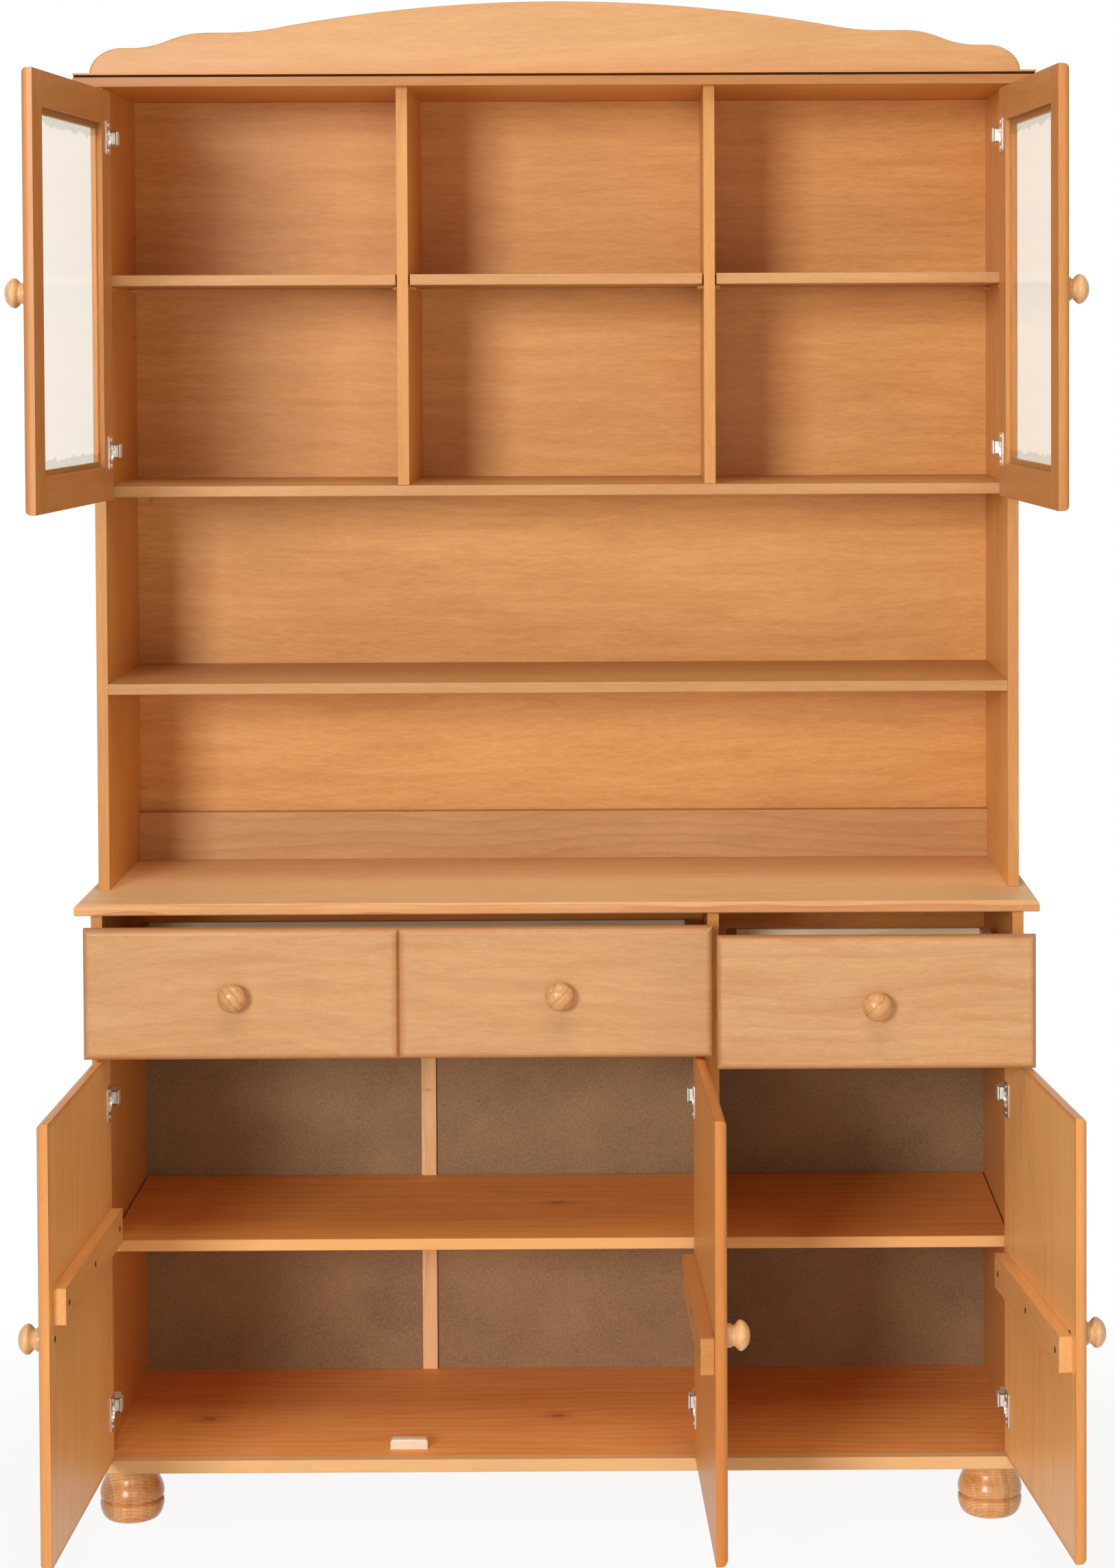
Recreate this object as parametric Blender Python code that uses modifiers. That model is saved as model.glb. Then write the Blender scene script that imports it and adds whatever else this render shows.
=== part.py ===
"""Buffet cabinet: a base with three doors and two drawers, and a hutch with two glazed doors.

Metres, Z up. The cabinet stands on Z = 0 with its back towards +Y, and it rests with its doors
open and its drawers pulled a little way out. Every moving piece is modelled where it is when
closed, and hangs on an empty that opens it.
"""

import math

import bmesh
import bpy
from mathutils import Matrix, Vector

# Driving dimensions
board = 0.016
board_depth = 0.409
back_thickness = 0.0032
base_width = 1.3306
hutch_end_overhang = 0.0047
hutch_setback = 0.101
divider_centre = 0.2222

foot_height = 0.083
bottom_thickness = 0.0185
base_side_height = 0.7825
base_shelf_height = 0.2875
base_shelf_thickness = 0.0165
hutch_side_height = 1.165
mid_shelf_height = 0.2855
fixed_shelf_height = 0.5727
upper_shelf_height = 0.2898
crown_thickness = 0.0195

base_door_width = 0.442
narrow_door_width = 0.4405
glass_door_width = 0.4445
glass_door_height = 0.588
drawer_front_height = 0.185
drawer_front_drop = 0.0085

left_door_open = math.radians(91.6)
middle_door_open = math.radians(92.7)
right_door_open = math.radians(95.9)
left_glass_open = math.radians(94.2)
right_glass_open = math.radians(93.9)
left_drawer_pull = 0.0655
right_drawer_pull = 0.1475

# Fits shared by many pieces: the gap at a seat, the overrun of a cut, the merging of shared points
seat = 0.0003
overrun = 0.010
weld = 0.00001

# The doors' hinge geometry: their gap to the carcass, and the axis they turn on
door_gap = 0.003
hinge_edge_inset = 0.001
pivot_inset = 0.0095
pivot_setback = 0.018

# Places worked out from the driving dimensions
carcass_depth = board_depth + seat + back_thickness
door_reach = door_gap + pivot_setback + base_door_width - pivot_inset
front = (door_reach - carcass_depth) / 2
rear = front + board_depth
full_rear = front + carcass_depth
hutch_front = front + hutch_setback

bottom_top = foot_height + bottom_thickness
worktop_underside = bottom_top + base_side_height
worktop_top = worktop_underside + board
crown_underside = worktop_top + hutch_side_height
drawer_front_low = worktop_underside - drawer_front_drop - drawer_front_height
crown_top = crown_underside + crown_thickness

base_half = base_width / 2
base_inner = base_half - board
hutch_half = base_half + hutch_end_overhang
hutch_inner = hutch_half - board
divider_outer = divider_centre + board / 2
divider_inner = divider_centre - board / 2
smooth_angle = math.radians(35)

# Finishes as colour, roughness and metallic value
oak = ((0.66, 0.34, 0.15), 0.45, 0.0)
oak_light = ((0.72, 0.42, 0.21), 0.45, 0.0)
oak_dark = ((0.55, 0.26, 0.10), 0.5, 0.0)
pale_wood = ((0.76, 0.60, 0.38), 0.6, 0.0)
hardboard = ((0.22, 0.15, 0.10), 0.75, 0.0)
clear_glass = ((0.93, 0.91, 0.86), 0.15, 0.0)


for leftover in list(bpy.data.objects):
    bpy.data.objects.remove(leftover)

cabinet = bpy.data.collections.new("buffet_cabinet")
cutters = bpy.data.collections.new("cutters")
bpy.context.scene.collection.children.link(cabinet)
bpy.context.scene.collection.children.link(cutters)


def place(piece, finish, holder=None):
    """Add a piece to the cabinet with a finish of its own, hung on its holder if it has one."""
    colour, roughness, metallic = finish
    material = bpy.data.materials.new(piece.name + "_finish")
    material.use_nodes = True
    shader = material.node_tree.nodes["Principled BSDF"]
    shader.inputs["Base Color"].default_value = (*colour, 1.0)
    shader.inputs["Roughness"].default_value = roughness
    shader.inputs["Metallic"].default_value = metallic
    material.diffuse_color = (*colour, 1.0)
    piece.data.materials.clear()
    piece.data.materials.append(material)
    cabinet.objects.link(piece)
    hang(piece, holder)
    return piece


def hang(piece, holder):
    """Parent a piece to its holder, so that it keeps its place among the closed pieces."""
    if holder:
        piece.parent = holder
        piece.location -= holder.location


def block_mesh(name, corner_pairs, centre):
    """One mesh of plain boxes, each given by its lowest and highest corner."""
    boxes = bmesh.new()
    for low, high in corner_pairs:
        low, high = Vector(low), Vector(high)
        spread = Matrix.Diagonal((*(high - low), 1.0))
        middle = Matrix.Translation((low + high) / 2 - centre)
        bmesh.ops.create_cube(boxes, size=1.0, matrix=middle @ spread)
    mesh = bpy.data.meshes.new(name)
    boxes.to_mesh(mesh)
    boxes.free()
    return mesh


def block(name, low, high, finish, holder=None):
    """A board or bar, with its origin at its centre."""
    centre = (Vector(low) + Vector(high)) / 2
    piece = bpy.data.objects.new(name, block_mesh(name, [(low, high)], centre))
    piece.location = centre
    return place(piece, finish, holder)


def ease(piece, radius, segments, chosen):
    """Round the edges whose middle, seen from the piece's centre, is one of those chosen."""
    solid = bmesh.new()
    solid.from_mesh(piece.data)
    edges = [edge for edge in solid.edges if chosen((edge.verts[0].co + edge.verts[1].co) / 2)]
    bmesh.ops.bevel(solid, geom=edges, offset=radius, offset_type='OFFSET', segments=segments,
                    profile=0.5, affect='EDGES')
    solid.to_mesh(piece.data)
    solid.free()
    piece.data.shade_smooth()
    piece.data.set_sharp_from_angle(angle=smooth_angle)


def shape(piece, operation, helper_mesh, spot, holder=None):
    """Join or cut a piece with a helper's shape, and hang the helper where the piece hangs."""
    helper = bpy.data.objects.new(helper_mesh.name, helper_mesh)
    helper.location = spot
    helper.hide_render = True
    helper.display_type = 'WIRE'
    cutters.objects.link(helper)
    hang(helper, holder)
    step = piece.modifiers.new(helper.name, 'BOOLEAN')
    step.operation = operation
    step.solver = 'EXACT'
    step.object = helper


def cut_boxes(piece, name, corner_pairs, holder=None):
    """Cut boxes, given where they are when closed, out of a piece."""
    home = holder.location.copy() if holder else Vector()
    shape(piece, 'DIFFERENCE', block_mesh(name, corner_pairs, home), home, holder)


def bar_mesh(name, ends, radius, sides, home):
    """One mesh of straight round bars, each from its first end to its last."""
    bars = bmesh.new()
    for start, stop in ends:
        run = Vector(stop) - Vector(start)
        middle = (Vector(start) + Vector(stop)) / 2 - home
        turn = run.to_track_quat('Z', 'Y').to_matrix().to_4x4()
        bmesh.ops.create_cone(bars, cap_ends=True, segments=sides, radius1=radius, radius2=radius,
                              depth=run.length, matrix=Matrix.Translation(middle) @ turn)
    mesh = bpy.data.meshes.new(name)
    bars.to_mesh(mesh)
    bars.free()
    return mesh


def drill(piece, name, ends, radius, sides, holder=None):
    """Drill straight holes through the given ends."""
    home = holder.location.copy() if holder else Vector()
    shape(piece, 'DIFFERENCE', bar_mesh(name, ends, radius, sides, home), home, holder)


def settled_mesh(maker):
    """The finished mesh of a maker object, with its loose caps welded; the maker is removed."""
    bpy.context.scene.collection.objects.link(maker)
    bpy.context.view_layer.update()
    graph = bpy.context.evaluated_depsgraph_get()
    mesh = bpy.data.meshes.new_from_object(maker.evaluated_get(graph))
    solid = bmesh.new()
    solid.from_mesh(mesh)
    bmesh.ops.remove_doubles(solid, verts=solid.verts, dist=weld)
    solid.to_mesh(mesh)
    solid.free()
    bpy.data.objects.remove(maker)
    return mesh


def copy_piece(name, mesh, placement, finish, holder=None):
    """A piece with a mesh of its own, copied from a shared one and put in its place."""
    piece = bpy.data.objects.new(name, mesh.copy())
    piece.data.shade_smooth()
    piece.data.set_sharp_from_angle(angle=smooth_angle)
    piece.matrix_basis = placement
    return place(piece, finish, holder)


def turned_mesh(name, profile, steps):
    """A turned solid from pairs of radius and height, listed from the top down its outer side."""
    line = bpy.data.meshes.new(name)
    line.from_pydata([(radius, 0, height) for radius, height in profile],
                     [(i, i + 1) for i in range(len(profile) - 1)], [])
    maker = bpy.data.objects.new(name, line)
    lathe = maker.modifiers.new("lathe", 'SCREW')
    lathe.steps = steps
    lathe.render_steps = steps
    lathe.use_merge_vertices = True
    lathe.merge_threshold = weld
    return settled_mesh(maker)


def outline_mesh(name, points, thickness):
    """A flat plate from an outline in its own XY plane, centred on that plane."""
    curve = bpy.data.curves.new(name, 'CURVE')
    curve.dimensions = '2D'
    curve.fill_mode = 'BOTH'
    curve.extrude = thickness / 2
    spline = curve.splines.new('POLY')
    spline.points.add(len(points) - 1)
    for spot, (x, y) in zip(spline.points, points):
        spot.co = (x, y, 0, 1)
    spline.use_cyclic_u = True
    return settled_mesh(bpy.data.objects.new(name, curve))


def arc_points(radius, start, stop, count):
    """Points on an arc about the origin, with angles measured from +Y towards +X."""
    angles = [start + (stop - start) * i / count for i in range(count + 1)]
    return [(radius * math.sin(angle), radius * math.cos(angle)) for angle in angles]


def face_edges_in_front(middle):
    """The four edges round a board's front face."""
    return middle.y < -seat


def long_front_edges(middle):
    """The upper and lower front edge of a level board."""
    return middle.y < -seat and abs(middle.x) < seat


# Base carcass
bottom_overhang = 0.018
worktop_overhang = 0.0207
worktop_front_overhang = 0.021
worktop_round = 0.007
worktop_arris = 0.0015
round_segments = 4
board_arris = 0.0015
arris_segments = 2

bottom_panel = block("bottom_panel", (-base_half, front - bottom_overhang, foot_height),
                     (base_half, rear, bottom_top), oak_light)
ease(bottom_panel, board_arris, arris_segments, long_front_edges)
side_low = bottom_top + seat
side_high = worktop_underside - seat
base_side_left = block("base_side_left", (-base_half, front, side_low),
                       (-base_inner, rear, side_high), oak)
base_side_right = block("base_side_right", (base_inner, front, side_low),
                        (base_half, rear, side_high), oak)
partition = block("partition", (divider_inner, front, side_low),
                  (divider_outer, rear, side_high), oak)

worktop_half = base_half + worktop_overhang
worktop = block("worktop", (-worktop_half, front - worktop_front_overhang, worktop_underside),
                (worktop_half, full_rear, worktop_top), oak)
ease(worktop, worktop_round, round_segments, lambda middle: middle.z > seat and middle.y < seat)
ease(worktop, worktop_arris, 1,
     lambda middle: middle.z < worktop_arris - board / 2 and middle.y < seat)

# Two back panels nailed on behind, and the strip that covers their joint
left_back_width = 0.4533
strip_width = 0.022
strip_thickness = 0.005
back_edge_inset = 0.001
back_joint = -base_half + back_edge_inset + left_back_width
back_left = block("base_back_left", (-base_half + back_edge_inset, rear + seat, foot_height),
                  (back_joint - seat / 2, full_rear, side_high), hardboard)
block("base_back_right", (back_joint + seat / 2, rear + seat, foot_height),
      (base_half - back_edge_inset, full_rear, side_high), hardboard)
strip_left = back_joint - strip_width / 2
strip_right = back_joint + strip_width / 2
back_edge = back_joint - seat / 2
strip_bond = rear + seat + back_thickness / 2
strip_mesh = outline_mesh("back_joint_strip", [
    (strip_left, rear - strip_thickness), (strip_right, rear - strip_thickness),
    (strip_right, rear), (back_edge, rear), (back_edge, strip_bond), (strip_left, strip_bond)],
    side_high - side_low)
shape(back_left, 'UNION', strip_mesh, (0, 0, (side_low + side_high) / 2))

# Turned bun feet under the bottom panel
foot_side_inset = 0.0443
foot_front_inset = 0.050
foot_rear_inset = 0.062
foot_steps = 24
foot_radius = 0.0463
foot_shares = (
    (0, 1), (0.83, 1), (0.838, 0.74), (0.873, 0.665), (0.955, 0.575), (0.995, 0.475),
    (0.988, 0.38), (0.92, 0.345), (0.988, 0.31), (0.989, 0.235), (0.955, 0.165),
    (0.92, 0.09), (0.82, 0.02), (0.75, 0), (0, 0),
)
foot_profile = [(foot_radius * out, (foot_height - seat) * up) for out, up in foot_shares]
foot_mesh = turned_mesh("foot", foot_profile, foot_steps)
foot_centre = base_half - foot_side_inset
for end, foot_y in (("front", front + foot_front_inset), ("rear", rear - foot_rear_inset)):
    for side, foot_x in (("left", -foot_centre), ("right", foot_centre)):
        copy_piece("foot_" + end + "_" + side, foot_mesh, Matrix.Translation((foot_x, foot_y, 0)),
                   oak_dark)

# Catch on the bottom panel, behind the meeting edges of the left and middle doors
catch_shift = 0.0038
catch_length = 0.053
catch_height = 0.014
catch_depth = 0.014
catch_inset = 0.028
catch_chamfer = 0.003
catch_low = bottom_top - bottom_thickness / 4
catch_centre = -base_half + hinge_edge_inset + base_door_width + catch_shift
catch_outline = [
    (-catch_length / 2, catch_low), (catch_length / 2, catch_low),
    (catch_length / 2, bottom_top + catch_height - catch_chamfer),
    (catch_length / 2 - catch_chamfer, bottom_top + catch_height),
    (-catch_length / 2 + catch_chamfer, bottom_top + catch_height),
    (-catch_length / 2, bottom_top + catch_height - catch_chamfer)]
catch_mesh = outline_mesh("door_catch", catch_outline, catch_depth)
catch_mesh.transform(Matrix.Rotation(math.radians(90), 4, 'X'))
shape(bottom_panel, 'UNION', catch_mesh, (catch_centre, front + catch_inset + catch_depth / 2, 0))

# Hutch carcass
rail_height = 0.0731
rail_thickness = 0.020
hutch_low = worktop_top + seat
hutch_high = crown_underside - seat
mid_shelf_low = worktop_top + mid_shelf_height
fixed_shelf_low = worktop_top + fixed_shelf_height
fixed_shelf_top = fixed_shelf_low + board
upper_shelf_low = fixed_shelf_top + upper_shelf_height
hutch_back_inset = 0.001

hutch_side_left = block("hutch_side_left", (-hutch_half, hutch_front, hutch_low),
                        (-hutch_inner, rear, hutch_high), oak)
hutch_side_right = block("hutch_side_right", (hutch_inner, hutch_front, hutch_low),
                         (hutch_half, rear, hutch_high), oak)
shelf_half = hutch_inner - seat
for name, shelf_low in (("mid_shelf", mid_shelf_low), ("fixed_shelf", fixed_shelf_low)):
    shelf = block(name, (-shelf_half, hutch_front, shelf_low),
                  (shelf_half, rear, shelf_low + board), oak)
    ease(shelf, board_arris, arris_segments, long_front_edges)
divider_left = block("divider_left", (-divider_outer, hutch_front, fixed_shelf_top + seat),
                     (-divider_inner, rear, hutch_high), oak)
divider_right = block("divider_right", (divider_inner, hutch_front, fixed_shelf_top + seat),
                      (divider_outer, rear, hutch_high), oak)
block("rear_rail", (-shelf_half, rear - rail_thickness, hutch_low),
      (shelf_half, rear, worktop_top + rail_height), oak)
block("hutch_back", (-hutch_half + hutch_back_inset, rear + seat, hutch_low),
      (hutch_half - hutch_back_inset, full_rear, hutch_high), oak_light)

# Crown panel with a shadow groove round its front and ends
crown_overhang = 0.023
groove_up = 0.0131
groove_height = 0.0038
groove_depth = 0.008
crown_half = hutch_half + crown_overhang
crown_front = hutch_front - crown_overhang
crown_panel = block("crown_panel", (-crown_half, crown_front, crown_underside),
                    (crown_half, full_rear, crown_top), oak)
groove_low = crown_underside + groove_up
groove_high = groove_low + groove_height
for side, near, far in (
        ("front", (-crown_half - overrun, crown_front - overrun),
         (crown_half + overrun, crown_front + groove_depth)),
        ("left", (-crown_half - overrun, crown_front - overrun),
         (-crown_half + groove_depth, full_rear + overrun)),
        ("right", (crown_half - groove_depth, crown_front - overrun),
         (crown_half + overrun, full_rear + overrun))):
    cut_boxes(crown_panel, "crown_groove_" + side, [((*near, groove_low), (*far, groove_high))])

# Pediment: its top edge rises from each end by a round, a ledge, a scroll, a flat and a sweep,
# and a long flat arch joins the two halves over the middle
pediment_overhang = 0.003
pediment_half = hutch_half + pediment_overhang
end_round_run = 0.048
end_round_rise = 0.0377
ledge_run = 0.014
scroll_run = 0.106
flat_height = 0.0593
flat_run = 0.034
sweep_run = 0.065
sweep_rise = 0.0058
peak_height = 0.1025


def pediment_half_edge():
    """Distance from the end and height of the top edge, from one end to the middle."""
    edge = []
    round_steps, scroll_steps, sweep_steps, arch_steps = 8, 10, 4, 8
    for i in range(round_steps + 1):
        angle = math.pi / 2 * i / round_steps
        edge.append((end_round_run * (1 - math.cos(angle)), end_round_rise * math.sin(angle)))
    start = end_round_run + ledge_run
    scroll_rise = flat_height - end_round_rise
    for i in range(scroll_steps + 1):
        t = i / scroll_steps
        share = 2 * t * t if t < 0.5 else 1 - 2 * (1 - t) * (1 - t)
        edge.append((start + scroll_run * t, end_round_rise + scroll_rise * share))
    start += scroll_run + flat_run
    for i in range(sweep_steps):
        t = i / sweep_steps
        edge.append((start + sweep_run * t, flat_height + sweep_rise * t * t))
    start += sweep_run
    arch_run = pediment_half - start
    arch_low = flat_height + sweep_rise
    for i in range(arch_steps + 1):
        t = i / arch_steps
        edge.append((start + arch_run * t, arch_low + (peak_height - arch_low) * (2 * t - t * t)))
    return edge


left_edge = [(-pediment_half + run, rise) for run, rise in pediment_half_edge()]
right_edge = [(-x, z) for x, z in reversed(left_edge[:-1])]
pediment_mesh = outline_mesh("pediment", left_edge + right_edge, board)
pediment_place = (Matrix.Translation((0, hutch_front + board / 2, crown_top + seat))
                  @ Matrix.Rotation(math.radians(90), 4, 'X'))
copy_piece("pediment", pediment_mesh, pediment_place, oak)

# Loose shelves, each on four pins that are glued into the panels beside it
shelf_end_gap = 0.0025
base_shelf_setback = 0.033
base_shelf_rear_gap = 0.0005
upper_shelf_setback = 0.004
upper_shelf_rear_gap = 0.002
pin_radius = 0.003
pin_sides = 10
pin_depth = 0.004
pin_reach = 0.009
pin_front_inset = 0.040
pin_rear_inset = 0.055
base_shelf_low = bottom_top + base_shelf_height
base_shelf_front = front + base_shelf_setback
base_shelf_rear = rear - strip_thickness - base_shelf_rear_gap
upper_shelf_front = hutch_front + upper_shelf_setback
upper_shelf_rear = rear - upper_shelf_rear_gap


def pin_row(panel, name, face_x, inward, shelf_low, shelf_front, shelf_rear):
    """Two pins in a panel's face, one near the shelf's front and one near its rear."""
    height = shelf_low - seat - pin_radius
    ends = [((face_x - inward * pin_depth, y, height), (face_x + inward * pin_reach, y, height))
            for y in (shelf_front + pin_front_inset, shelf_rear - pin_rear_inset)]
    shape(panel, 'UNION', bar_mesh(name, ends, pin_radius, pin_sides, Vector()), (0, 0, 0))


def loose_shelf(name, thickness, low, shelf_front, shelf_rear, left_panel, left_x,
                right_panel, right_x):
    """A shelf between two panels' faces, with its pins."""
    shelf = block(name, (left_x + shelf_end_gap, shelf_front, low),
                  (right_x - shelf_end_gap, shelf_rear, low + thickness), oak_light)
    ease(shelf, board_arris, arris_segments, long_front_edges)
    pin_row(left_panel, name + "_left_pins", left_x, 1, low, shelf_front, shelf_rear)
    pin_row(right_panel, name + "_right_pins", right_x, -1, low, shelf_front, shelf_rear)


loose_shelf("base_shelf_left", base_shelf_thickness, base_shelf_low, base_shelf_front,
            base_shelf_rear, base_side_left, -base_inner, partition, divider_inner)
loose_shelf("base_shelf_right", base_shelf_thickness, base_shelf_low, base_shelf_front,
            base_shelf_rear, partition, divider_outer, base_side_right, base_inner)
loose_shelf("upper_shelf_left", board, upper_shelf_low, upper_shelf_front, upper_shelf_rear,
            hutch_side_left, -hutch_inner, divider_left, -divider_outer)
loose_shelf("upper_shelf_centre", board, upper_shelf_low, upper_shelf_front, upper_shelf_rear,
            divider_left, -divider_inner, divider_right, divider_inner)
loose_shelf("upper_shelf_right", board, upper_shelf_low, upper_shelf_front, upper_shelf_rear,
            divider_right, divider_outer, hutch_side_right, hutch_inner)

# Turned wooden knob: a collar, a short neck and a domed head
knob_radius = 0.020
knob_length = 0.0315
knob_steps = 20
knob_shares = (
    (0, 1), (0.34, 0.975), (0.64, 0.9), (0.86, 0.78), (0.97, 0.68), (1, 0.6), (0.93, 0.51),
    (0.78, 0.42), (0.68, 0.33), (0.68, 0.27), (0.76, 0.2), (0.775, 0), (0, 0),
)
knob_mesh = turned_mesh(
    "knob", [(knob_radius * out, knob_length * up) for out, up in knob_shares], knob_steps)


def knob(name, x, face_y, z, holder):
    """A knob standing out of a front face."""
    stand = Matrix.Rotation(math.radians(90), 4, 'X')
    copy_piece(name, knob_mesh, Matrix.Translation((x, face_y - seat, z)) @ stand, oak_dark, holder)


# Concealed hinges: a cup sunk in the door with a flange on its inner face, and an arm on the
# carcass whose tongue follows an arc about the door's axis, down into the cup of a closed door
cup_inset = 0.0188
cup_inner_radius = 0.012
cup_depth = 0.0109
cup_sides = 20
flange_half_width = 0.013
flange_height = 0.050
flange_thickness = 0.0015
flange_corner = 0.004
tongue_inner = 0.0207
tongue_outer = 0.0219
tongue_height = 0.006
tongue_start = math.radians(16)
tongue_shoulder = math.radians(30)
tongue_end = math.radians(67)
neck_reach = 0.0255
arm_reach = 0.0195
arm_height = 0.015
arm_length = 0.045
arm_gap = 0.0001
plate_height = 0.050
plate_length = 0.022
plate_thickness = 0.0018
plate_setback = 0.022
arm_bite = 0.001
arm_front = pivot_setback + door_gap - arm_gap


def joined_mesh(name, first, second):
    """The union of two meshes that overlap."""
    maker = bpy.data.objects.new(name, first)
    other = bpy.data.objects.new(name + "_other", second)
    bpy.context.scene.collection.objects.link(other)
    union = maker.modifiers.new("union", 'BOOLEAN')
    union.operation = 'UNION'
    union.solver = 'EXACT'
    union.object = other
    result = settled_mesh(maker)
    bpy.data.objects.remove(other)
    return result


def flange_outline():
    """A plate round the cup with its four corners cut."""
    x, z = flange_half_width, flange_height / 2
    cut_x, cut_z = x - flange_corner, z - flange_corner
    return [(-cut_x, -z), (cut_x, -z), (x, -cut_z), (x, cut_z),
            (cut_x, z), (-cut_x, z), (-x, cut_z), (-x, -cut_z)]


def arm_mesh(name, face_reach):
    """The carcass side of a hinge, about the door's axis; face_reach is how far the carcass face
    that carries it lies inboard of that axis."""
    inner = arc_points(tongue_inner, tongue_start, tongue_end, 8)
    outer = arc_points(tongue_outer, tongue_end, tongue_shoulder, 6)
    neck = [(outer[-1][0], neck_reach), (inner[0][0], neck_reach)]
    tongue = outline_mesh(name + "_tongue", inner + outer + neck, tongue_height)
    wall = face_reach - arm_bite
    body = block_mesh(name + "_body", [((wall, arm_front, -arm_height / 2),
                                        (arm_reach, arm_front + arm_length, arm_height / 2))],
                      Vector())
    plate_front = arm_front + plate_setback
    plate = block_mesh(name + "_plate", [((wall, plate_front, -plate_height / 2),
                                          (face_reach + plate_thickness,
                                           plate_front + plate_length, plate_height / 2))],
                       Vector())
    return joined_mesh(name, joined_mesh(name + "_body_and_tongue", body, tongue), plate)


flange_mesh = outline_mesh("flange", flange_outline(), 2 * flange_thickness)
flange_mesh.transform(Matrix.Rotation(math.radians(90), 4, 'X'))
side_arm = arm_mesh("side_arm", board - hinge_edge_inset - pivot_inset)
partition_door_edge = divider_outer - pivot_inset
partition_arm = arm_mesh("partition_arm", partition_door_edge - divider_inner - pivot_inset)


def door_holder(name, hinge_x, inward, face_y, opened):
    """The empty on a door's axis; inward is 1 for a door hinged on its left, -1 on its right."""
    holder = bpy.data.objects.new(name + "_axis", None)
    holder.location = (hinge_x + inward * pivot_inset, face_y - door_gap - pivot_setback, 0)
    holder.rotation_euler = (0, 0, -inward * opened)
    cabinet.objects.link(holder)
    return holder


def fit_hinges(name, hinge_side, hinge_x, inward, face_y, heights, holder, panel, arm):
    """Give the door's hinge side its flanges and cups, and the carcass panel its arms."""
    inner_face = face_y - door_gap
    cup_x = hinge_x + inward * cup_inset
    for level, z in zip(("lower", "upper"), heights):
        flange = flange_mesh.copy()
        flange.name = name + "_flange_" + level
        shape(hinge_side, 'UNION', flange, (cup_x, inner_face, z), holder)
    drill(hinge_side, name + "_cups",
          [((cup_x, inner_face - cup_depth, z), (cup_x, inner_face + overrun, z))
           for z in heights], cup_inner_radius, cup_sides, holder)
    for level, z in zip(("lower", "upper"), heights):
        placed_arm = arm.copy()
        placed_arm.name = name + "_arm_" + level
        if inward < 0:
            placed_arm.transform(Matrix.Diagonal((-1, 1, 1, 1)))
            placed_arm.flip_normals()
        shape(panel, 'UNION', placed_arm, (holder.location.x, holder.location.y, z))


# Base doors: a plain rounded panel with a batten screwed across its inner face
door_round = 0.009
base_door_up = 0.003
door_to_drawer_gap = 0.0025
base_door_low = bottom_top + base_door_up
base_door_high = drawer_front_low - door_to_drawer_gap
base_hinge_inset = 0.070
knob_edge_inset = 0.035
base_knob_up = 0.2935
batten_height = 0.048
batten_thickness = 0.018
batten_end_inset = 0.019
batten_screw_radius = 0.003
batten_screw_inset = 0.022
batten_screw_sides = 10
left_batten_up = 0.3405
other_batten_up = 0.2705


def base_door(name, hinge_x, inward, width, opened, batten_up, carcass_panel, arm):
    """One base door with its batten, knob and hinge cups."""
    holder = door_holder(name, hinge_x, inward, front, opened)
    inner_face = front - door_gap
    ends = sorted((hinge_x, hinge_x + inward * width))
    panel = block(name + "_panel", (ends[0], inner_face - board, base_door_low),
                  (ends[1], inner_face, base_door_high), oak, holder)
    ease(panel, door_round, round_segments, face_edges_in_front)
    heights = (base_door_low + base_hinge_inset, base_door_high - base_hinge_inset)
    fit_hinges(name, panel, hinge_x, inward, front, heights, holder, carcass_panel, arm)
    batten_ends = (ends[0] + batten_end_inset, ends[1] - batten_end_inset)
    batten_z = base_door_low + batten_up
    batten = block(name + "_batten",
                   (batten_ends[0], inner_face + seat, batten_z - batten_height / 2),
                   (batten_ends[1], inner_face + seat + batten_thickness,
                    batten_z + batten_height / 2), oak_light, holder)
    screw_spots = (batten_ends[0] + batten_screw_inset, (ends[0] + ends[1]) / 2,
                   batten_ends[1] - batten_screw_inset)
    drill(batten, name + "_screw_holes",
          [((x, inner_face + seat + batten_thickness / 2, batten_z),
            (x, inner_face + batten_thickness + overrun, batten_z)) for x in screw_spots],
          batten_screw_radius, batten_screw_sides, holder)
    knob_x = hinge_x + inward * (width - knob_edge_inset)
    knob(name + "_knob", knob_x, inner_face - board, base_door_low + base_knob_up, holder)


base_hinge_x = base_half - hinge_edge_inset
base_door("door_left", -base_hinge_x, 1, base_door_width, left_door_open, left_batten_up,
          base_side_left, side_arm)
base_door("door_middle", partition_door_edge, -1, base_door_width, middle_door_open,
          other_batten_up, partition, partition_arm)
base_door("door_right", base_hinge_x, -1, narrow_door_width, right_door_open, other_batten_up,
          base_side_right, side_arm)

# Glazed doors: two stiles, two rails between them, and a pane in a rebate from inside
stile_width = 0.060
rail_width = 0.056
glass_door_drop = 0.0022
glass_door_low = fixed_shelf_low - glass_door_drop
glass_door_high = glass_door_low + glass_door_height
glass_hinge_inset = 0.068
glass_knob_up = 0.2925
glass_knob_inset = 0.037
rebate_width = 0.008
pane_setback = 0.006
pane_thickness = 0.003
pane_edge_gap = 0.001


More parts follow.
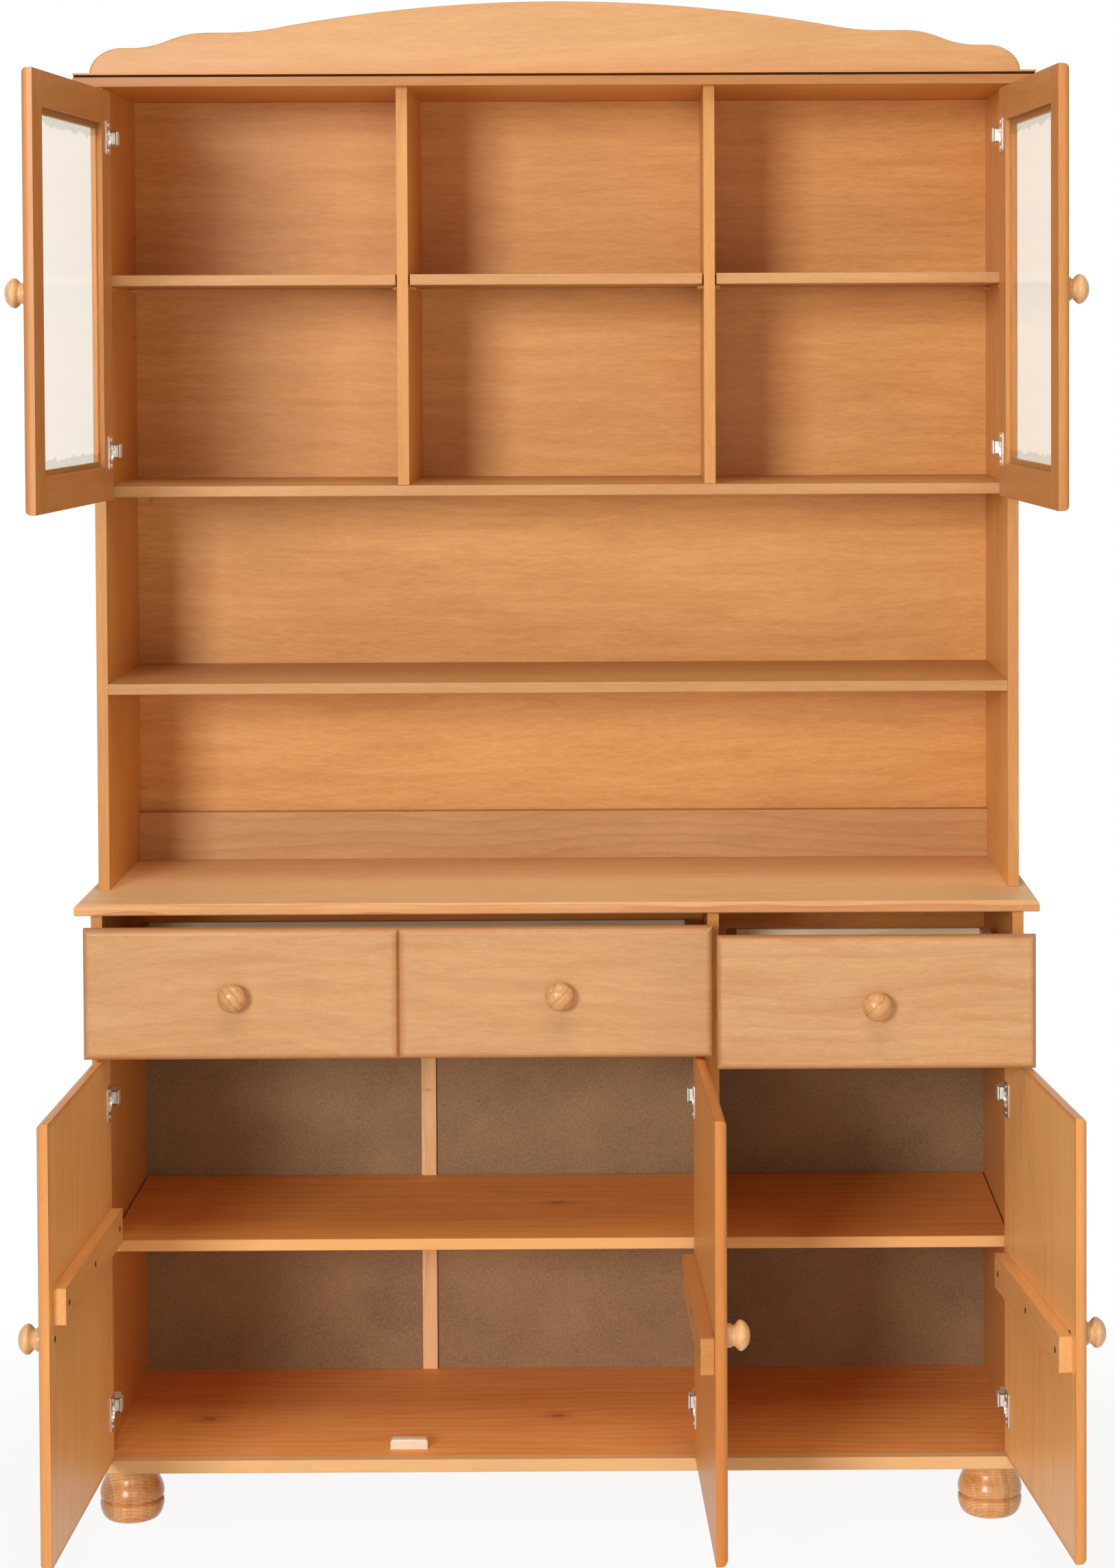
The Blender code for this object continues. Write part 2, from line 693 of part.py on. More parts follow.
def glass_door(name, hinge_x, inward, opened, carcass_panel):
    """One glazed door with its frame, pane, knob and hinge cups."""
    holder = door_holder(name, hinge_x, inward, hutch_front, opened)
    inner_face = hutch_front - door_gap
    outer_face = inner_face - board
    ends = sorted((hinge_x, hinge_x + inward * glass_door_width))
    left_in, right_in = ends[0] + stile_width, ends[1] - stile_width
    rail_low, rail_high = glass_door_low + rail_width, glass_door_high - rail_width
    members = []
    for side, x_low, x_high, outward in (("left", ends[0], left_in, -1),
                                         ("right", right_in, ends[1], 1)):
        stile = block(name + "_stile_" + side, (x_low, outer_face, glass_door_low),
                      (x_high, inner_face, glass_door_high), oak, holder)
        ease(stile, door_round, round_segments,
             lambda middle, outward=outward: middle.y < -seat and middle.x * outward > -seat)
        members.append(stile)
    for level, z_low, z_high, outward in (("lower", glass_door_low, rail_low, -1),
                                          ("upper", rail_high, glass_door_high, 1)):
        rail = block(name + "_rail_" + level, (left_in + seat, outer_face, z_low),
                     (right_in - seat, inner_face, z_high), oak, holder)
        ease(rail, door_round, round_segments,
             lambda middle, outward=outward: middle.y < -seat and middle.z * outward > seat)
        members.append(rail)
    rebate_low = Vector((left_in - rebate_width, inner_face - pane_setback - pane_thickness - seat,
                         rail_low - rebate_width))
    rebate_high = Vector((right_in + rebate_width, inner_face + overrun, rail_high + rebate_width))
    for member in members:
        cut_boxes(member, member.name + "_rebate", [(rebate_low, rebate_high)], holder)
    block(name + "_pane",
          (rebate_low.x + pane_edge_gap, inner_face - pane_setback - pane_thickness,
           rebate_low.z + pane_edge_gap),
          (rebate_high.x - pane_edge_gap, inner_face - pane_setback,
           rebate_high.z - pane_edge_gap), clear_glass, holder)
    hinge_stile = members[0] if inward > 0 else members[1]
    heights = (glass_door_low + glass_hinge_inset, glass_door_high - glass_hinge_inset)
    fit_hinges(name, hinge_stile, hinge_x, inward, hutch_front, heights, holder, carcass_panel,
               side_arm)
    knob_x = hinge_x + inward * (glass_door_width - glass_knob_inset)
    knob(name + "_knob", knob_x, outer_face, glass_door_low + glass_knob_up, holder)


glass_hinge_x = hutch_half - hinge_edge_inset
glass_door("glass_door_left", -glass_hinge_x, 1, left_glass_open, hutch_side_left)
glass_door("glass_door_right", glass_hinge_x, -1, right_glass_open, hutch_side_right)

# Drawers: a rounded front, two grooved sides, a back and a thin bottom, on wooden runners
drawer_gap = 0.0015
drawer_front_high = drawer_front_low + drawer_front_height
drawer_side_gap = 0.0155
drawer_side_thickness = 0.014
drawer_side_up = 0.0155
drawer_side_low = drawer_front_low + drawer_side_up
drawer_side_height = 0.120
drawer_depth = 0.335
drawer_back_thickness = 0.012
drawer_bottom_thickness = 0.004
drawer_bottom_up = 0.008
drawer_groove_depth = 0.006
drawer_round = 0.009
runner_thickness = 0.012
runner_lip = 0.022
runner_side_gap = 0.001
runner_front_inset = 0.002
runner_length = 0.358
runner_bite = 0.001
slot_width = 0.005
slot_depth = 0.004
drawer_knob_up = 0.0905
left_knob_inset = 0.2113
centre_knob_inset = 0.6693
right_knob_inset = 0.2203
front_end_inset = 0.001
front_partition_gap = 0.003


def runner(name, panel, wall, inward):
    """An L-shaped runner glued to a compartment wall, its foot under a drawer's side."""
    glued = wall - inward * runner_bite
    lip = wall + inward * (drawer_side_gap - runner_side_gap)
    far = wall + inward * (drawer_side_gap + drawer_side_thickness)
    foot_top = drawer_side_low - seat
    foot_low = foot_top - runner_thickness
    mesh = outline_mesh(name, [(glued, foot_low), (far, foot_low), (far, foot_top),
                               (lip, foot_top), (lip, foot_top + runner_lip),
                               (glued, foot_top + runner_lip)], runner_length)
    mesh.transform(Matrix.Rotation(math.radians(90), 4, 'X'))
    shape(panel, 'UNION', mesh, (0, front + runner_front_inset + runner_length / 2, 0))


def drawer(name, front_ends, walls, panels, pull, knob_spots):
    """One drawer between two compartment walls, and the runners it slides on."""
    inner_face = front - drawer_gap
    holder = bpy.data.objects.new(name + "_slide", None)
    holder.location = ((walls[0] + walls[1]) / 2, inner_face, drawer_side_low)
    holder.delta_location = (0, -pull, 0)
    cabinet.objects.link(holder)
    face = block(name + "_front", (front_ends[0], inner_face - board, drawer_front_low),
                 (front_ends[1], inner_face, drawer_front_high), oak, holder)
    ease(face, drawer_round, round_segments, face_edges_in_front)
    outer = (walls[0] + drawer_side_gap, walls[1] - drawer_side_gap)
    inner = (outer[0] + drawer_side_thickness, outer[1] - drawer_side_thickness)
    box_rear = inner_face + drawer_depth
    side_top = drawer_side_low + drawer_side_height
    bottom_low = drawer_side_low + drawer_bottom_up
    bottom_high = bottom_low + drawer_bottom_thickness
    side_left = block(name + "_side_left", (outer[0], inner_face + seat, drawer_side_low),
                      (inner[0], box_rear, side_top), pale_wood, holder)
    side_right = block(name + "_side_right", (inner[1], inner_face + seat, drawer_side_low),
                       (outer[1], box_rear, side_top), pale_wood, holder)
    block(name + "_back", (inner[0] + seat, box_rear - drawer_back_thickness, bottom_high + seat),
          (inner[1] - seat, box_rear, side_top), pale_wood, holder)
    bottom_low_corner = Vector((inner[0] - drawer_groove_depth + seat,
                                inner_face - drawer_groove_depth + seat, bottom_low))
    bottom_high_corner = Vector((inner[1] + drawer_groove_depth - seat, box_rear, bottom_high))
    block(name + "_bottom", bottom_low_corner, bottom_high_corner, pale_wood, holder)
    clearance = Vector((seat, seat, seat))
    groove = [(bottom_low_corner - clearance,
               bottom_high_corner + clearance + Vector((0, overrun, 0)))]
    for member in (face, side_left, side_right):
        cut_boxes(member, member.name + "_groove", groove, holder)
    for suffix, knob_inset in knob_spots:
        knob(name + suffix, front_ends[0] + knob_inset, inner_face - board,
             drawer_front_low + drawer_knob_up, holder)
    for side, panel, wall, inward in (("left", panels[0], walls[0], 1),
                                      ("right", panels[1], walls[1], -1)):
        runner(name + "_runner_" + side, panel, wall, inward)
    return face, holder


wide_front_ends = (-base_half + front_end_inset, partition_door_edge)
left_front, left_slide = drawer(
    "drawer_left", wide_front_ends,
    (-base_inner, divider_inner), (base_side_left, partition), left_drawer_pull,
    [("_knob_left", left_knob_inset), ("_knob_right", centre_knob_inset)])
drawer("drawer_right", (partition_door_edge + front_partition_gap, base_half - front_end_inset),
       (divider_outer, base_inner), (partition, base_side_right), right_drawer_pull,
       [("_knob", right_knob_inset)])

# The upright V groove that makes the wide front look like two
slot_face = front - drawer_gap - board
slot_centre = sum(wide_front_ends) / 2
slot_mesh = outline_mesh("front_slot", [
    (-slot_width, -slot_depth), (slot_width, -slot_depth), (0, slot_depth)],
    drawer_front_height + 2 * overrun)
shape(left_front, 'DIFFERENCE', slot_mesh,
      (slot_centre, slot_face, drawer_front_low + drawer_front_height / 2), left_slide)
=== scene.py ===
"""Buffet cabinet with a glazed hutch: finishes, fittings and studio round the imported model."""
import math
import bpy
import bmesh
import numpy as np
from mathutils import Matrix, Vector


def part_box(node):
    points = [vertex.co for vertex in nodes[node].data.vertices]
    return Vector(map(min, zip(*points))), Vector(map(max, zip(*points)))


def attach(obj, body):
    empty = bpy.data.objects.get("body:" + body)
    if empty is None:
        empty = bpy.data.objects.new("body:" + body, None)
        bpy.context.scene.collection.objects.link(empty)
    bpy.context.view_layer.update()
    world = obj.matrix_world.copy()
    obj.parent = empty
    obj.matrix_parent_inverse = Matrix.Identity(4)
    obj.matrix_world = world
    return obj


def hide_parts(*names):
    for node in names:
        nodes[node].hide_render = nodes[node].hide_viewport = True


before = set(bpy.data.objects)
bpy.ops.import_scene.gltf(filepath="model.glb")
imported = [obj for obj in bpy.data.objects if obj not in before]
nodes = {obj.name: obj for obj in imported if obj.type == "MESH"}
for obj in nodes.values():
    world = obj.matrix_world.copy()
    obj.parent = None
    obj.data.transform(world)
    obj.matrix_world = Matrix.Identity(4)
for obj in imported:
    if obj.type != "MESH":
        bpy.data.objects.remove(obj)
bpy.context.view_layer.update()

# The view: a long lens a little above the upper shelf, straight in front of the cabinet and
# turned down by under two degrees, as the photograph was taken.
camera_place = Vector((0.12165, -4.73836, 1.69882))
camera_yaw = -0.00384
camera_pitch = 0.03152
camera_roll = -0.00424
focal_pixels = 4882.83
centre_pixel = (951.84, 647.90)
photo_width = 1624
photo_height = 2283

ahead = Vector((-math.sin(camera_yaw), math.cos(camera_yaw), 0))
sideways = Vector((math.cos(camera_yaw), math.sin(camera_yaw), 0))
upright = Vector((0, 0, 1))
looking = ahead * math.cos(camera_pitch) - upright * math.sin(camera_pitch)
above = upright * math.cos(camera_pitch) + ahead * math.sin(camera_pitch)
right = sideways * math.cos(camera_roll) + above * math.sin(camera_roll)
over = above * math.cos(camera_roll) - sideways * math.sin(camera_roll)
lens = bpy.data.cameras.new("view")
lens.sensor_width = 36
lens.sensor_fit = 'AUTO'
lens.lens = focal_pixels / photo_height * lens.sensor_width
lens.shift_x = (photo_width / 2 - centre_pixel[0]) / photo_height
lens.shift_y = (centre_pixel[1] - photo_height / 2) / photo_height
camera = bpy.data.objects.new("view", lens)
camera.matrix_world = Matrix((
    (right.x, over.x, -looking.x, camera_place.x),
    (right.y, over.y, -looking.y, camera_place.y),
    (right.z, over.z, -looking.z, camera_place.z),
    (0, 0, 0, 1)))
bpy.context.scene.collection.objects.link(camera)
bpy.context.scene.camera = camera
bpy.context.scene.view_settings.view_transform = 'Standard'

# The studio: a pale floor that turns white away from the cabinet, a white surround, a key lamp
# far off to the left, and soft fills from beside the lens, the right, overhead and below.
floor_reach = 6.0
floor_colour = (0.86, 0.86, 0.86, 1)
shadow_reach = (0.8, 1.5)
near_white = 0.91
white = (1, 1, 1, 1)
surround_light = 0.08
surround_tint = (1.0, 0.84, 0.58, 1)
fill_tint = (1.0, 0.90, 0.74)
lamps = (
    ("key_lamp", (-3.2, -8.7, 2.75), 2.2, 495),
    ("front_lamp", (0.6, -5.2, 1.5), 1.2, 13),
    ("right_lamp", (3.2, -2.6, 1.0), 2.0, 20),
    ("overhead_lamp", (0.0, -1.6, 4.2), 2.0, 58),
    ("low_lamp", (0.3, -3.6, 0.7), 1.2, 9),
)
lamp_target = Vector((0, 0.1, 1.05))


def add(tree, kind, inputs=None, **settings):
    """A node in a tree, with its settings and with inputs given by name as a value or a socket."""
    made = tree.nodes.new(kind)
    for name, value in settings.items():
        setattr(made, name, value)
    for name, value in (inputs or {}).items():
        if isinstance(value, bpy.types.NodeSocket):
            tree.links.new(value, made.inputs[name])
        else:
            made.inputs[name].default_value = value
    return made


def sums(tree, operation, first, second=0.0, third=0.0):
    """The result of a sum on one, two or three values or sockets."""
    return add(tree, 'ShaderNodeMath', {0: first, 1: second, 2: third},
               operation=operation).outputs[0]


def times(tree, first, second):
    """A product of two values or sockets."""
    return sums(tree, 'MULTIPLY', first, second)


def vectors(tree, operation, *terms, output=0):
    """The result of a sum on vectors, or its value when the output asked for is that."""
    return add(tree, 'ShaderNodeVectorMath', dict(enumerate(terms)),
               operation=operation).outputs[output]


def noise(tree, spot, scale, detail, output="Fac", **more):
    """Noise at a point, as a value from 0 to 1 or as a colour."""
    return add(tree, 'ShaderNodeTexNoise', {"Vector": spot, "Scale": scale, "Detail": detail,
                                            **more}).outputs[output]


def between(tree, value, low, high, top=1.0, **settings):
    """0 where a value is at the first limit, rising evenly to the top at the second."""
    return add(tree, 'ShaderNodeMapRange', {"Value": value, "From Min": low, "From Max": high,
                                            "To Max": top}, **settings).outputs[0]


def blend(tree, share, first, second, kind='MIX'):
    """A share of the second colour mixed or multiplied into the first."""
    return add(tree, 'ShaderNodeMix', {0: share, 6: first, 7: second}, data_type='RGBA',
               clamp_factor=True, blend_type=kind).outputs[2]


def seen_ray(tree):
    """1 for a ray from the lens, from a gloss or through glass, 0 for one that only lights."""
    rays = add(tree, 'ShaderNodeLightPath').outputs
    return sums(tree, 'MAXIMUM', rays["Is Camera Ray"],
                sums(tree, 'MAXIMUM', rays["Is Glossy Ray"], rays["Is Transmission Ray"]))


world = bpy.data.worlds.new("surround")
world.use_nodes = True
tree = world.node_tree
tree.nodes.clear()
seen = seen_ray(tree)
strength = sums(tree, 'MULTIPLY_ADD', seen, 1 - surround_light, surround_light)
sky = add(tree, 'ShaderNodeBackground', {"Color": blend(tree, seen, surround_tint, white),
                                         "Strength": strength}).outputs[0]
add(tree, 'ShaderNodeOutputWorld', {"Surface": sky})
bpy.context.scene.world = world

floor_mesh = bpy.data.meshes.new("floor")
floor_mesh.from_pydata([(x * floor_reach, y * floor_reach, 0)
                        for x, y in ((-1, -1), (1, -1), (1, 1), (-1, 1))], [], [(0, 1, 2, 3)])
floor = bpy.data.objects.new("floor", floor_mesh)
bpy.context.scene.collection.objects.link(floor)
paint = bpy.data.materials.new("pale_floor")
paint.use_nodes = True
tree = paint.node_tree
tree.nodes.clear()
spot = add(tree, 'ShaderNodeTexCoord').outputs["Object"]
away = between(tree, vectors(tree, 'LENGTH', spot, output="Value"), *shadow_reach,
               interpolation_type='SMOOTHSTEP')
whitened = sums(tree, 'MULTIPLY_ADD', away, 1 - near_white, near_white)
matt = add(tree, 'ShaderNodeBsdfDiffuse', {"Color": floor_colour}).outputs[0]
bright = add(tree, 'ShaderNodeEmission', {"Color": white, "Strength": 1.0}).outputs[0]
mixed = add(tree, 'ShaderNodeMixShader', {0: times(tree, seen_ray(tree), whitened),
                                          1: matt, 2: bright}).outputs[0]
add(tree, 'ShaderNodeOutputMaterial', {"Surface": mixed})
floor_mesh.materials.append(paint)

for name, spot, size, power in lamps:
    light = bpy.data.lights.new(name, 'AREA')
    light.shape = 'SQUARE'
    light.size = size
    light.energy = power
    light.color = (1.0, 1.0, 1.0) if name == "key_lamp" else fill_tint
    lamp = bpy.data.objects.new(name, light)
    facing = (lamp_target - Vector(spot)).to_track_quat('-Z', 'Y').to_matrix().to_4x4()
    lamp.matrix_world = Matrix.Translation(spot) @ facing
    bpy.context.scene.collection.objects.link(lamp)

# Carcass boards: veneered and solid oak-coloured boards, satin lacquered and screwed together
# from behind. The growth rings lie round an axis beside each board, so every board differs.
lacquer_roughness = 0.40


def new_group(name, given, put_out):
    """A node group with named inputs and outputs, and the sockets of its inputs inside it."""
    group = bpy.data.node_groups.new(name, 'ShaderNodeTree')
    for way, sockets in (('INPUT', given), ('OUTPUT', put_out)):
        for socket, kind in sockets:
            group.interface.new_socket(name=socket, in_out=way, socket_type='NodeSocket' + kind)
    return group, add(group, 'NodeGroupInput').outputs


def wood_group():
    """Grain of a board whose length runs along X, in metres.

    Rings are the fraction of the distance from the X axis over the ring width, bent by noise;
    figure, streaks and pores are noises stretched along X; tone is a slow noise."""
    group, given = new_group(
        "wood_grain",
        (("Vector", 'Vector'), ("Light", 'Color'), ("Dark", 'Color'), ("Line", 'Color'),
         ("Figure", 'Float'), ("Streaks", 'Float'), ("Rings", 'Float'), ("Ring Width", 'Float'),
         ("Roughness", 'Float')),
        (("Colour", 'Color'), ("Roughness", 'Float'), ("Relief", 'Float')))

    def stretched(vector, scale, detail, **more):
        """Noise from 0 to 1 with its own scale on each axis."""
        return noise(group, vectors(group, 'MULTIPLY', vector, scale), 1.0, detail, **more)

    def spread(value, amount):
        """A noise less its mean, times an amount."""
        return times(group, sums(group, 'SUBTRACT', value, 0.5), amount)

    wander = vectors(group, 'SUBTRACT', stretched(given["Vector"], (1.3, 3.0, 3.0), 2.0,
                                                  output="Color"), (0.5, 0.5, 0.5))
    bent = vectors(group, 'MULTIPLY_ADD', wander, (0.0, 0.06, 0.06), given["Vector"])
    figure = stretched(bent, (5.5, 48.0, 48.0), 4.0, Roughness=0.6, Distortion=0.4)
    streaks = stretched(bent, (48.0, 340.0, 340.0), 4.0, Roughness=0.65)
    speckle = stretched(given["Vector"], (620.0, 1000.0, 1000.0), 2.0, Roughness=0.6)
    pores = stretched(bent, (70.0, 900.0, 900.0), 2.0)
    tone = stretched(given["Vector"], (1.2, 2.6, 2.6), 2.0)
    across = vectors(group, 'MULTIPLY', bent, (0.0, 1.0, 1.0))
    away = vectors(group, 'LENGTH', across, output="Value")
    turns = sums(group, 'ADD', sums(group, 'DIVIDE', away, given["Ring Width"]),
                 spread(stretched(bent, (3.0, 18.0, 18.0), 2.0), 2.4))
    ring = times(group, sums(group, 'POWER', sums(group, 'FRACT', turns), 3.0),
                 sums(group, 'SUBTRACT', 1.35, tone))
    shade = sums(group, 'ADD', spread(tone, 1.1), spread(speckle, 1.2))
    shade = sums(group, 'ADD', spread(streaks, times(group, given["Streaks"], 1.5)), shade)
    shade = sums(group, 'ADD', spread(figure, times(group, given["Figure"], 1.5)), shade)
    ground = blend(group, sums(group, 'ADD', shade, 0.5), given["Dark"], given["Light"])
    pore = between(group, pores, 0.60, 0.74, 0.22)
    lines = sums(group, 'MAXIMUM', times(group, pore, given["Streaks"]),
                 times(group, ring, given["Rings"]))
    add(group, 'NodeGroupOutput', {
        "Colour": blend(group, lines, ground, given["Line"]),
        "Roughness": sums(group, 'ADD', given["Roughness"], spread(streaks, 0.25)),
        "Relief": sums(group, 'SUBTRACT', times(group, streaks, 0.5), pore)})
    return group


def edge_group():
    """Where a surface turns within a few millimetres, from 0 on the flat to 1 on an edge, a colour
    is
    laid: wear on the arrises and painted shade in the creases and rebates.
    """
    group, given = new_group("edge_wear", (("Colour", 'Color'), ("Worn", 'Color'),
                                           ("Amount", 'Float')), (("Colour", 'Color'),))
    softened = add(group, 'ShaderNodeBevel', {"Radius": 0.004}, samples=4).outputs[0]
    faced = add(group, 'ShaderNodeNewGeometry').outputs["Normal"]
    turned_by = vectors(group, 'DOT_PRODUCT', softened, faced, output="Value")
    worn_and_shaded = times(group, between(group, turned_by, 0.995, 0.80), given["Amount"])
    add(group, 'NodeGroupOutput', {"Colour": blend(group, worn_and_shaded, given["Colour"], given["Worn"])})
    return group


def rim_group():
    """How near a point lies to the outline of a board, from 0 inside to 1 on the outline, and
    1 beyond it: the least distance to the sides of a box, less a slow waver, over a width."""
    group, given = new_group("board_rim", (("Vector", 'Vector'), ("Low", 'Vector'),
                                           ("High", 'Vector'), ("Width", 'Float')),
                             (("Rim", 'Float'), ("Beyond", 'Float')))
    least = vectors(group, 'MINIMUM', vectors(group, 'SUBTRACT', given["Vector"], given["Low"]),
                    vectors(group, 'SUBTRACT', given["High"], given["Vector"]))
    x, y, z = add(group, 'ShaderNodeSeparateXYZ', {0: least}).outputs
    least = sums(group, 'MINIMUM', x, sums(group, 'MINIMUM', y, z))
    waver = noise(group, given["Vector"], 60.0, 3.0)
    width = times(group, given["Width"], sums(group, 'ADD', waver, 0.6))
    add(group, 'NodeGroupOutput', {
        "Rim": between(group, least, width, 0.0, interpolation_type='SMOOTHSTEP'),
        "Beyond": between(group, least, 0.0003, -0.0007)})
    return group


wood_grain = wood_group()
edge_wear = edge_group()
board_rim = rim_group()
grain_turns = {"x": (0, 0, 0), "y": (0, 0, math.radians(-90)), "z": (0, math.radians(90), 0)}


def material(name):
    """A new material, its node tree, its shader's inputs, and the place shaded in metres."""
    finish = bpy.data.materials.new(name)
    finish.use_nodes = True
    tree = finish.node_tree
    spot = add(tree, 'ShaderNodeTexCoord').outputs["Object"]
    return finish, tree, tree.nodes["Principled BSDF"].inputs, spot


def surface(tree, shader, colour, rough, relief, strength, depth):
    """Join a colour, a roughness and a relief of some strength and depth to a shader."""
    bump = add(tree, 'ShaderNodeBump', {"Strength": strength, "Distance": depth,
                                        "Height": relief}).outputs[0]
    for name, socket in (("Base Color", colour), ("Roughness", rough), ("Normal", bump)):
        tree.links.new(socket, shader[name])


def wood(name, along, light, dark, line, figure=0.9, streaks=0.75, rings=0.25, ring_width=0.012,
         roughness=lacquer_roughness, coat=0.04, heart=(0.0, 0.31, 0.17), worn_and_shaded=None,
         worn_and_shaded_amount=0.5, turn=None, relief=0.06):
    """A lacquered wood whose grain runs along x, y or z, or is turned by the angles given."""
    finish, tree, shader, spot = material(name)
    spot = add(tree, 'ShaderNodeMapping', {"Vector": spot, "Location": heart,
                                           "Rotation": turn or grain_turns[along]}).outputs[0]
    grain = add(tree, 'ShaderNodeGroup', {
        "Vector": spot, "Light": (*light, 1), "Dark": (*dark, 1), "Line": (*line, 1),
        "Figure": figure, "Streaks": streaks, "Rings": rings, "Ring Width": ring_width,
        "Roughness": roughness}, node_tree=wood_grain).outputs
    colour = grain["Colour"]
    # Worn and shaded edges: wear on arrises, painted shade in creases and rebates.
    if worn_and_shaded:
        colour = add(tree, 'ShaderNodeGroup', {"Colour": colour, "Worn": (*worn_and_shaded, 1),
                                               "Amount": worn_and_shaded_amount},
                     node_tree=edge_wear).outputs["Colour"]
    surface(tree, shader, colour, grain["Roughness"], grain["Relief"], relief, 0.001)
    shader["Coat Weight"].default_value = coat
    shader["Coat Roughness"].default_value = 0.25
    shader["Specular IOR Level"].default_value = 0.25
    return finish


def coat_over(finish, mask, colour, amount=1.0, kind='MIX'):
    """Lay a colour over a finish where a mask says."""
    tree = finish.node_tree
    base = tree.nodes["Principled BSDF"].inputs["Base Color"]
    under = base.links[0].from_socket
    tree.links.new(blend(tree, times(tree, mask, amount), under, (*colour, 1), kind), base)
    return finish


def tinge(finish, mask, colour, amount=1.0):
    """Multiply a finish by a colour where a mask says."""
    return coat_over(finish, mask, colour, amount, 'MULTIPLY')


def place_in(finish):
    """The point being shaded, in metres in the shared frame, and its X, Y and Z."""
    spot = add(finish.node_tree, 'ShaderNodeTexCoord').outputs["Object"]
    return spot, add(finish.node_tree, 'ShaderNodeSeparateXYZ', {0: spot}).outputs


def below(finish, value, limit, blur=0.0006):
    """1 where a value is under a limit, 0 where it is over."""
    return between(finish.node_tree, value, limit + blur, limit - blur)


def past(finish, value, limit, blur=0.0006):
    """1 where a value is past a limit, 0 where it is under."""
    return between(finish.node_tree, value, limit - blur, limit + blur)


def knot(finish, place, size, colour, amount=0.75):
    """A small knot: a dark heart whose edge is bent by noise, in a ring of faint halo."""
    tree = finish.node_tree
    spot, _ = place_in(finish)
    apart = vectors(tree, 'MULTIPLY', vectors(tree, 'SUBTRACT', spot, place),
                    [1 / v for v in size])
    far = sums(tree, 'ADD', vectors(tree, 'LENGTH', apart, output="Value"),
               sums(tree, 'MULTIPLY_ADD', noise(tree, spot, 130.0, 3.0), 0.9, -0.45))
    mask = sums(tree, 'MAXIMUM', between(tree, far, 1.0, 0.5), between(tree, far, 2.6, 0.9, 0.4))
    coat_over(finish, mask, colour, amount)


def dress(finish, *names):
    """Give CAD nodes a finish in their own material slot."""
    for name in names:
        materials = nodes[name].data.materials
        if len(materials):
            materials[0] = finish
        else:
            materials.append(finish)


oak_light = (0.79, 0.385, 0.11)
oak_dark = (0.64, 0.275, 0.063)
oak_line = (0.36, 0.12, 0.03)
crown_nose = 0.0993
crown_groove = 2.0781
crown_edge = (0.61, 0.51, 0.45)
crown_nose_tone = (0.85, 0.72, 0.62)
crown_underside_shade = (1.0, 0.86, 0.50)
hutch_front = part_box("mid_shelf")[0].y + 0.0008
upright_oak = wood("upright_oak", "z", oak_light, oak_dark, oak_line, rings=0.15)
# Painted light: a lighter copy of the upright oak for the right hutch side, whose inner face
# stands in the key light.
bright_oak = wood("bright_oak", "z", (0.90, 0.49, 0.165), (0.73, 0.345, 0.095), oak_line,
                  rings=0.15, heart=(0.4, 0.31, 0.37))
level_oak = wood("level_oak", "x", (0.59, 0.315, 0.137), (0.47, 0.22, 0.081), oak_line,
                 rings=0.15)
rear_oak = wood("rear_oak", "x", (0.66, 0.36, 0.155), (0.52, 0.255, 0.095), oak_line, rings=0.3,
                heart=(0.3, 0.3, -0.5))
crown_oak = wood("crown_oak", "x", (0.80, 0.42, 0.16), (0.66, 0.30, 0.10), oak_line, rings=0.15)
# The crown's front is darkened, more below its groove than above it; behind the nose its underside
# is tinted a deeper orange, which is painted shade under the crown.
_, (_, y, z) = place_in(crown_oak)
high, low = past(crown_oak, z, crown_groove), below(crown_oak, z, crown_groove)
behind, nose = past(crown_oak, y, crown_nose), below(crown_oak, y, crown_nose)
for level, depth, tone in ((high, nose, crown_nose_tone), (low, nose, crown_edge),
                           (low, behind, crown_underside_shade)):
    tinge(crown_oak, times(crown_oak.node_tree, level, depth), tone)
# Above the worktop the uprights' front edges are darkened, the right one more, which takes its
# painted light back off that edge.
for finish, tone in ((upright_oak, (0.86, 0.86, 1.0)), (bright_oak, (0.76, 0.68, 0.76))):
    _, (_, y, z) = place_in(finish)
    front, high = below(finish, y, hutch_front), past(finish, z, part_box("worktop")[1].z)
    tinge(finish, times(finish.node_tree, front, high), tone)
dress(upright_oak, "base_side_left", "base_side_right", "partition", "hutch_side_left",
      "divider_left", "divider_right")
dress(bright_oak, "hutch_side_right")
dress(level_oak, "mid_shelf", "fixed_shelf", "upper_shelf_left", "upper_shelf_centre",
      "upper_shelf_right")
dress(rear_oak, "rear_rail")
dress(crown_oak, "crown_panel")

# Worktop, bottom panel and base shelves: solid boards with plain growth rings and a few small
# knots, the worktop with a rounded front and ends, the others with a paler front edge: painted
# light where it faces the lamps.
worktop_round = 0.8985
bottom_front = 0.0217
shelf_front = 0.0547
knot_tone = (0.36, 0.11, 0.03)
worktop_oak = wood("worktop_oak", "x", (1.0, 0.71, 0.40), (0.92, 0.56, 0.28), oak_line,
                   figure=1.1, streaks=1.0, rings=0.42, ring_width=0.008, roughness=0.5,
                   coat=0.0, heart=(0.4, 0.12, -0.86))
_, (_, _, height) = place_in(worktop_oak)
tinge(worktop_oak, below(worktop_oak, height, worktop_round, 0.0012), (0.83, 0.64, 0.51))
dress(worktop_oak, "worktop")
shelf_oak = wood("shelf_oak", "x", (0.98, 0.44, 0.13), (0.86, 0.325, 0.075), oak_line, figure=1.1,
                 streaks=0.7, rings=0.24, ring_width=0.026, roughness=0.62, coat=0.0,
                 heart=(0.2, 0.26, -0.31))
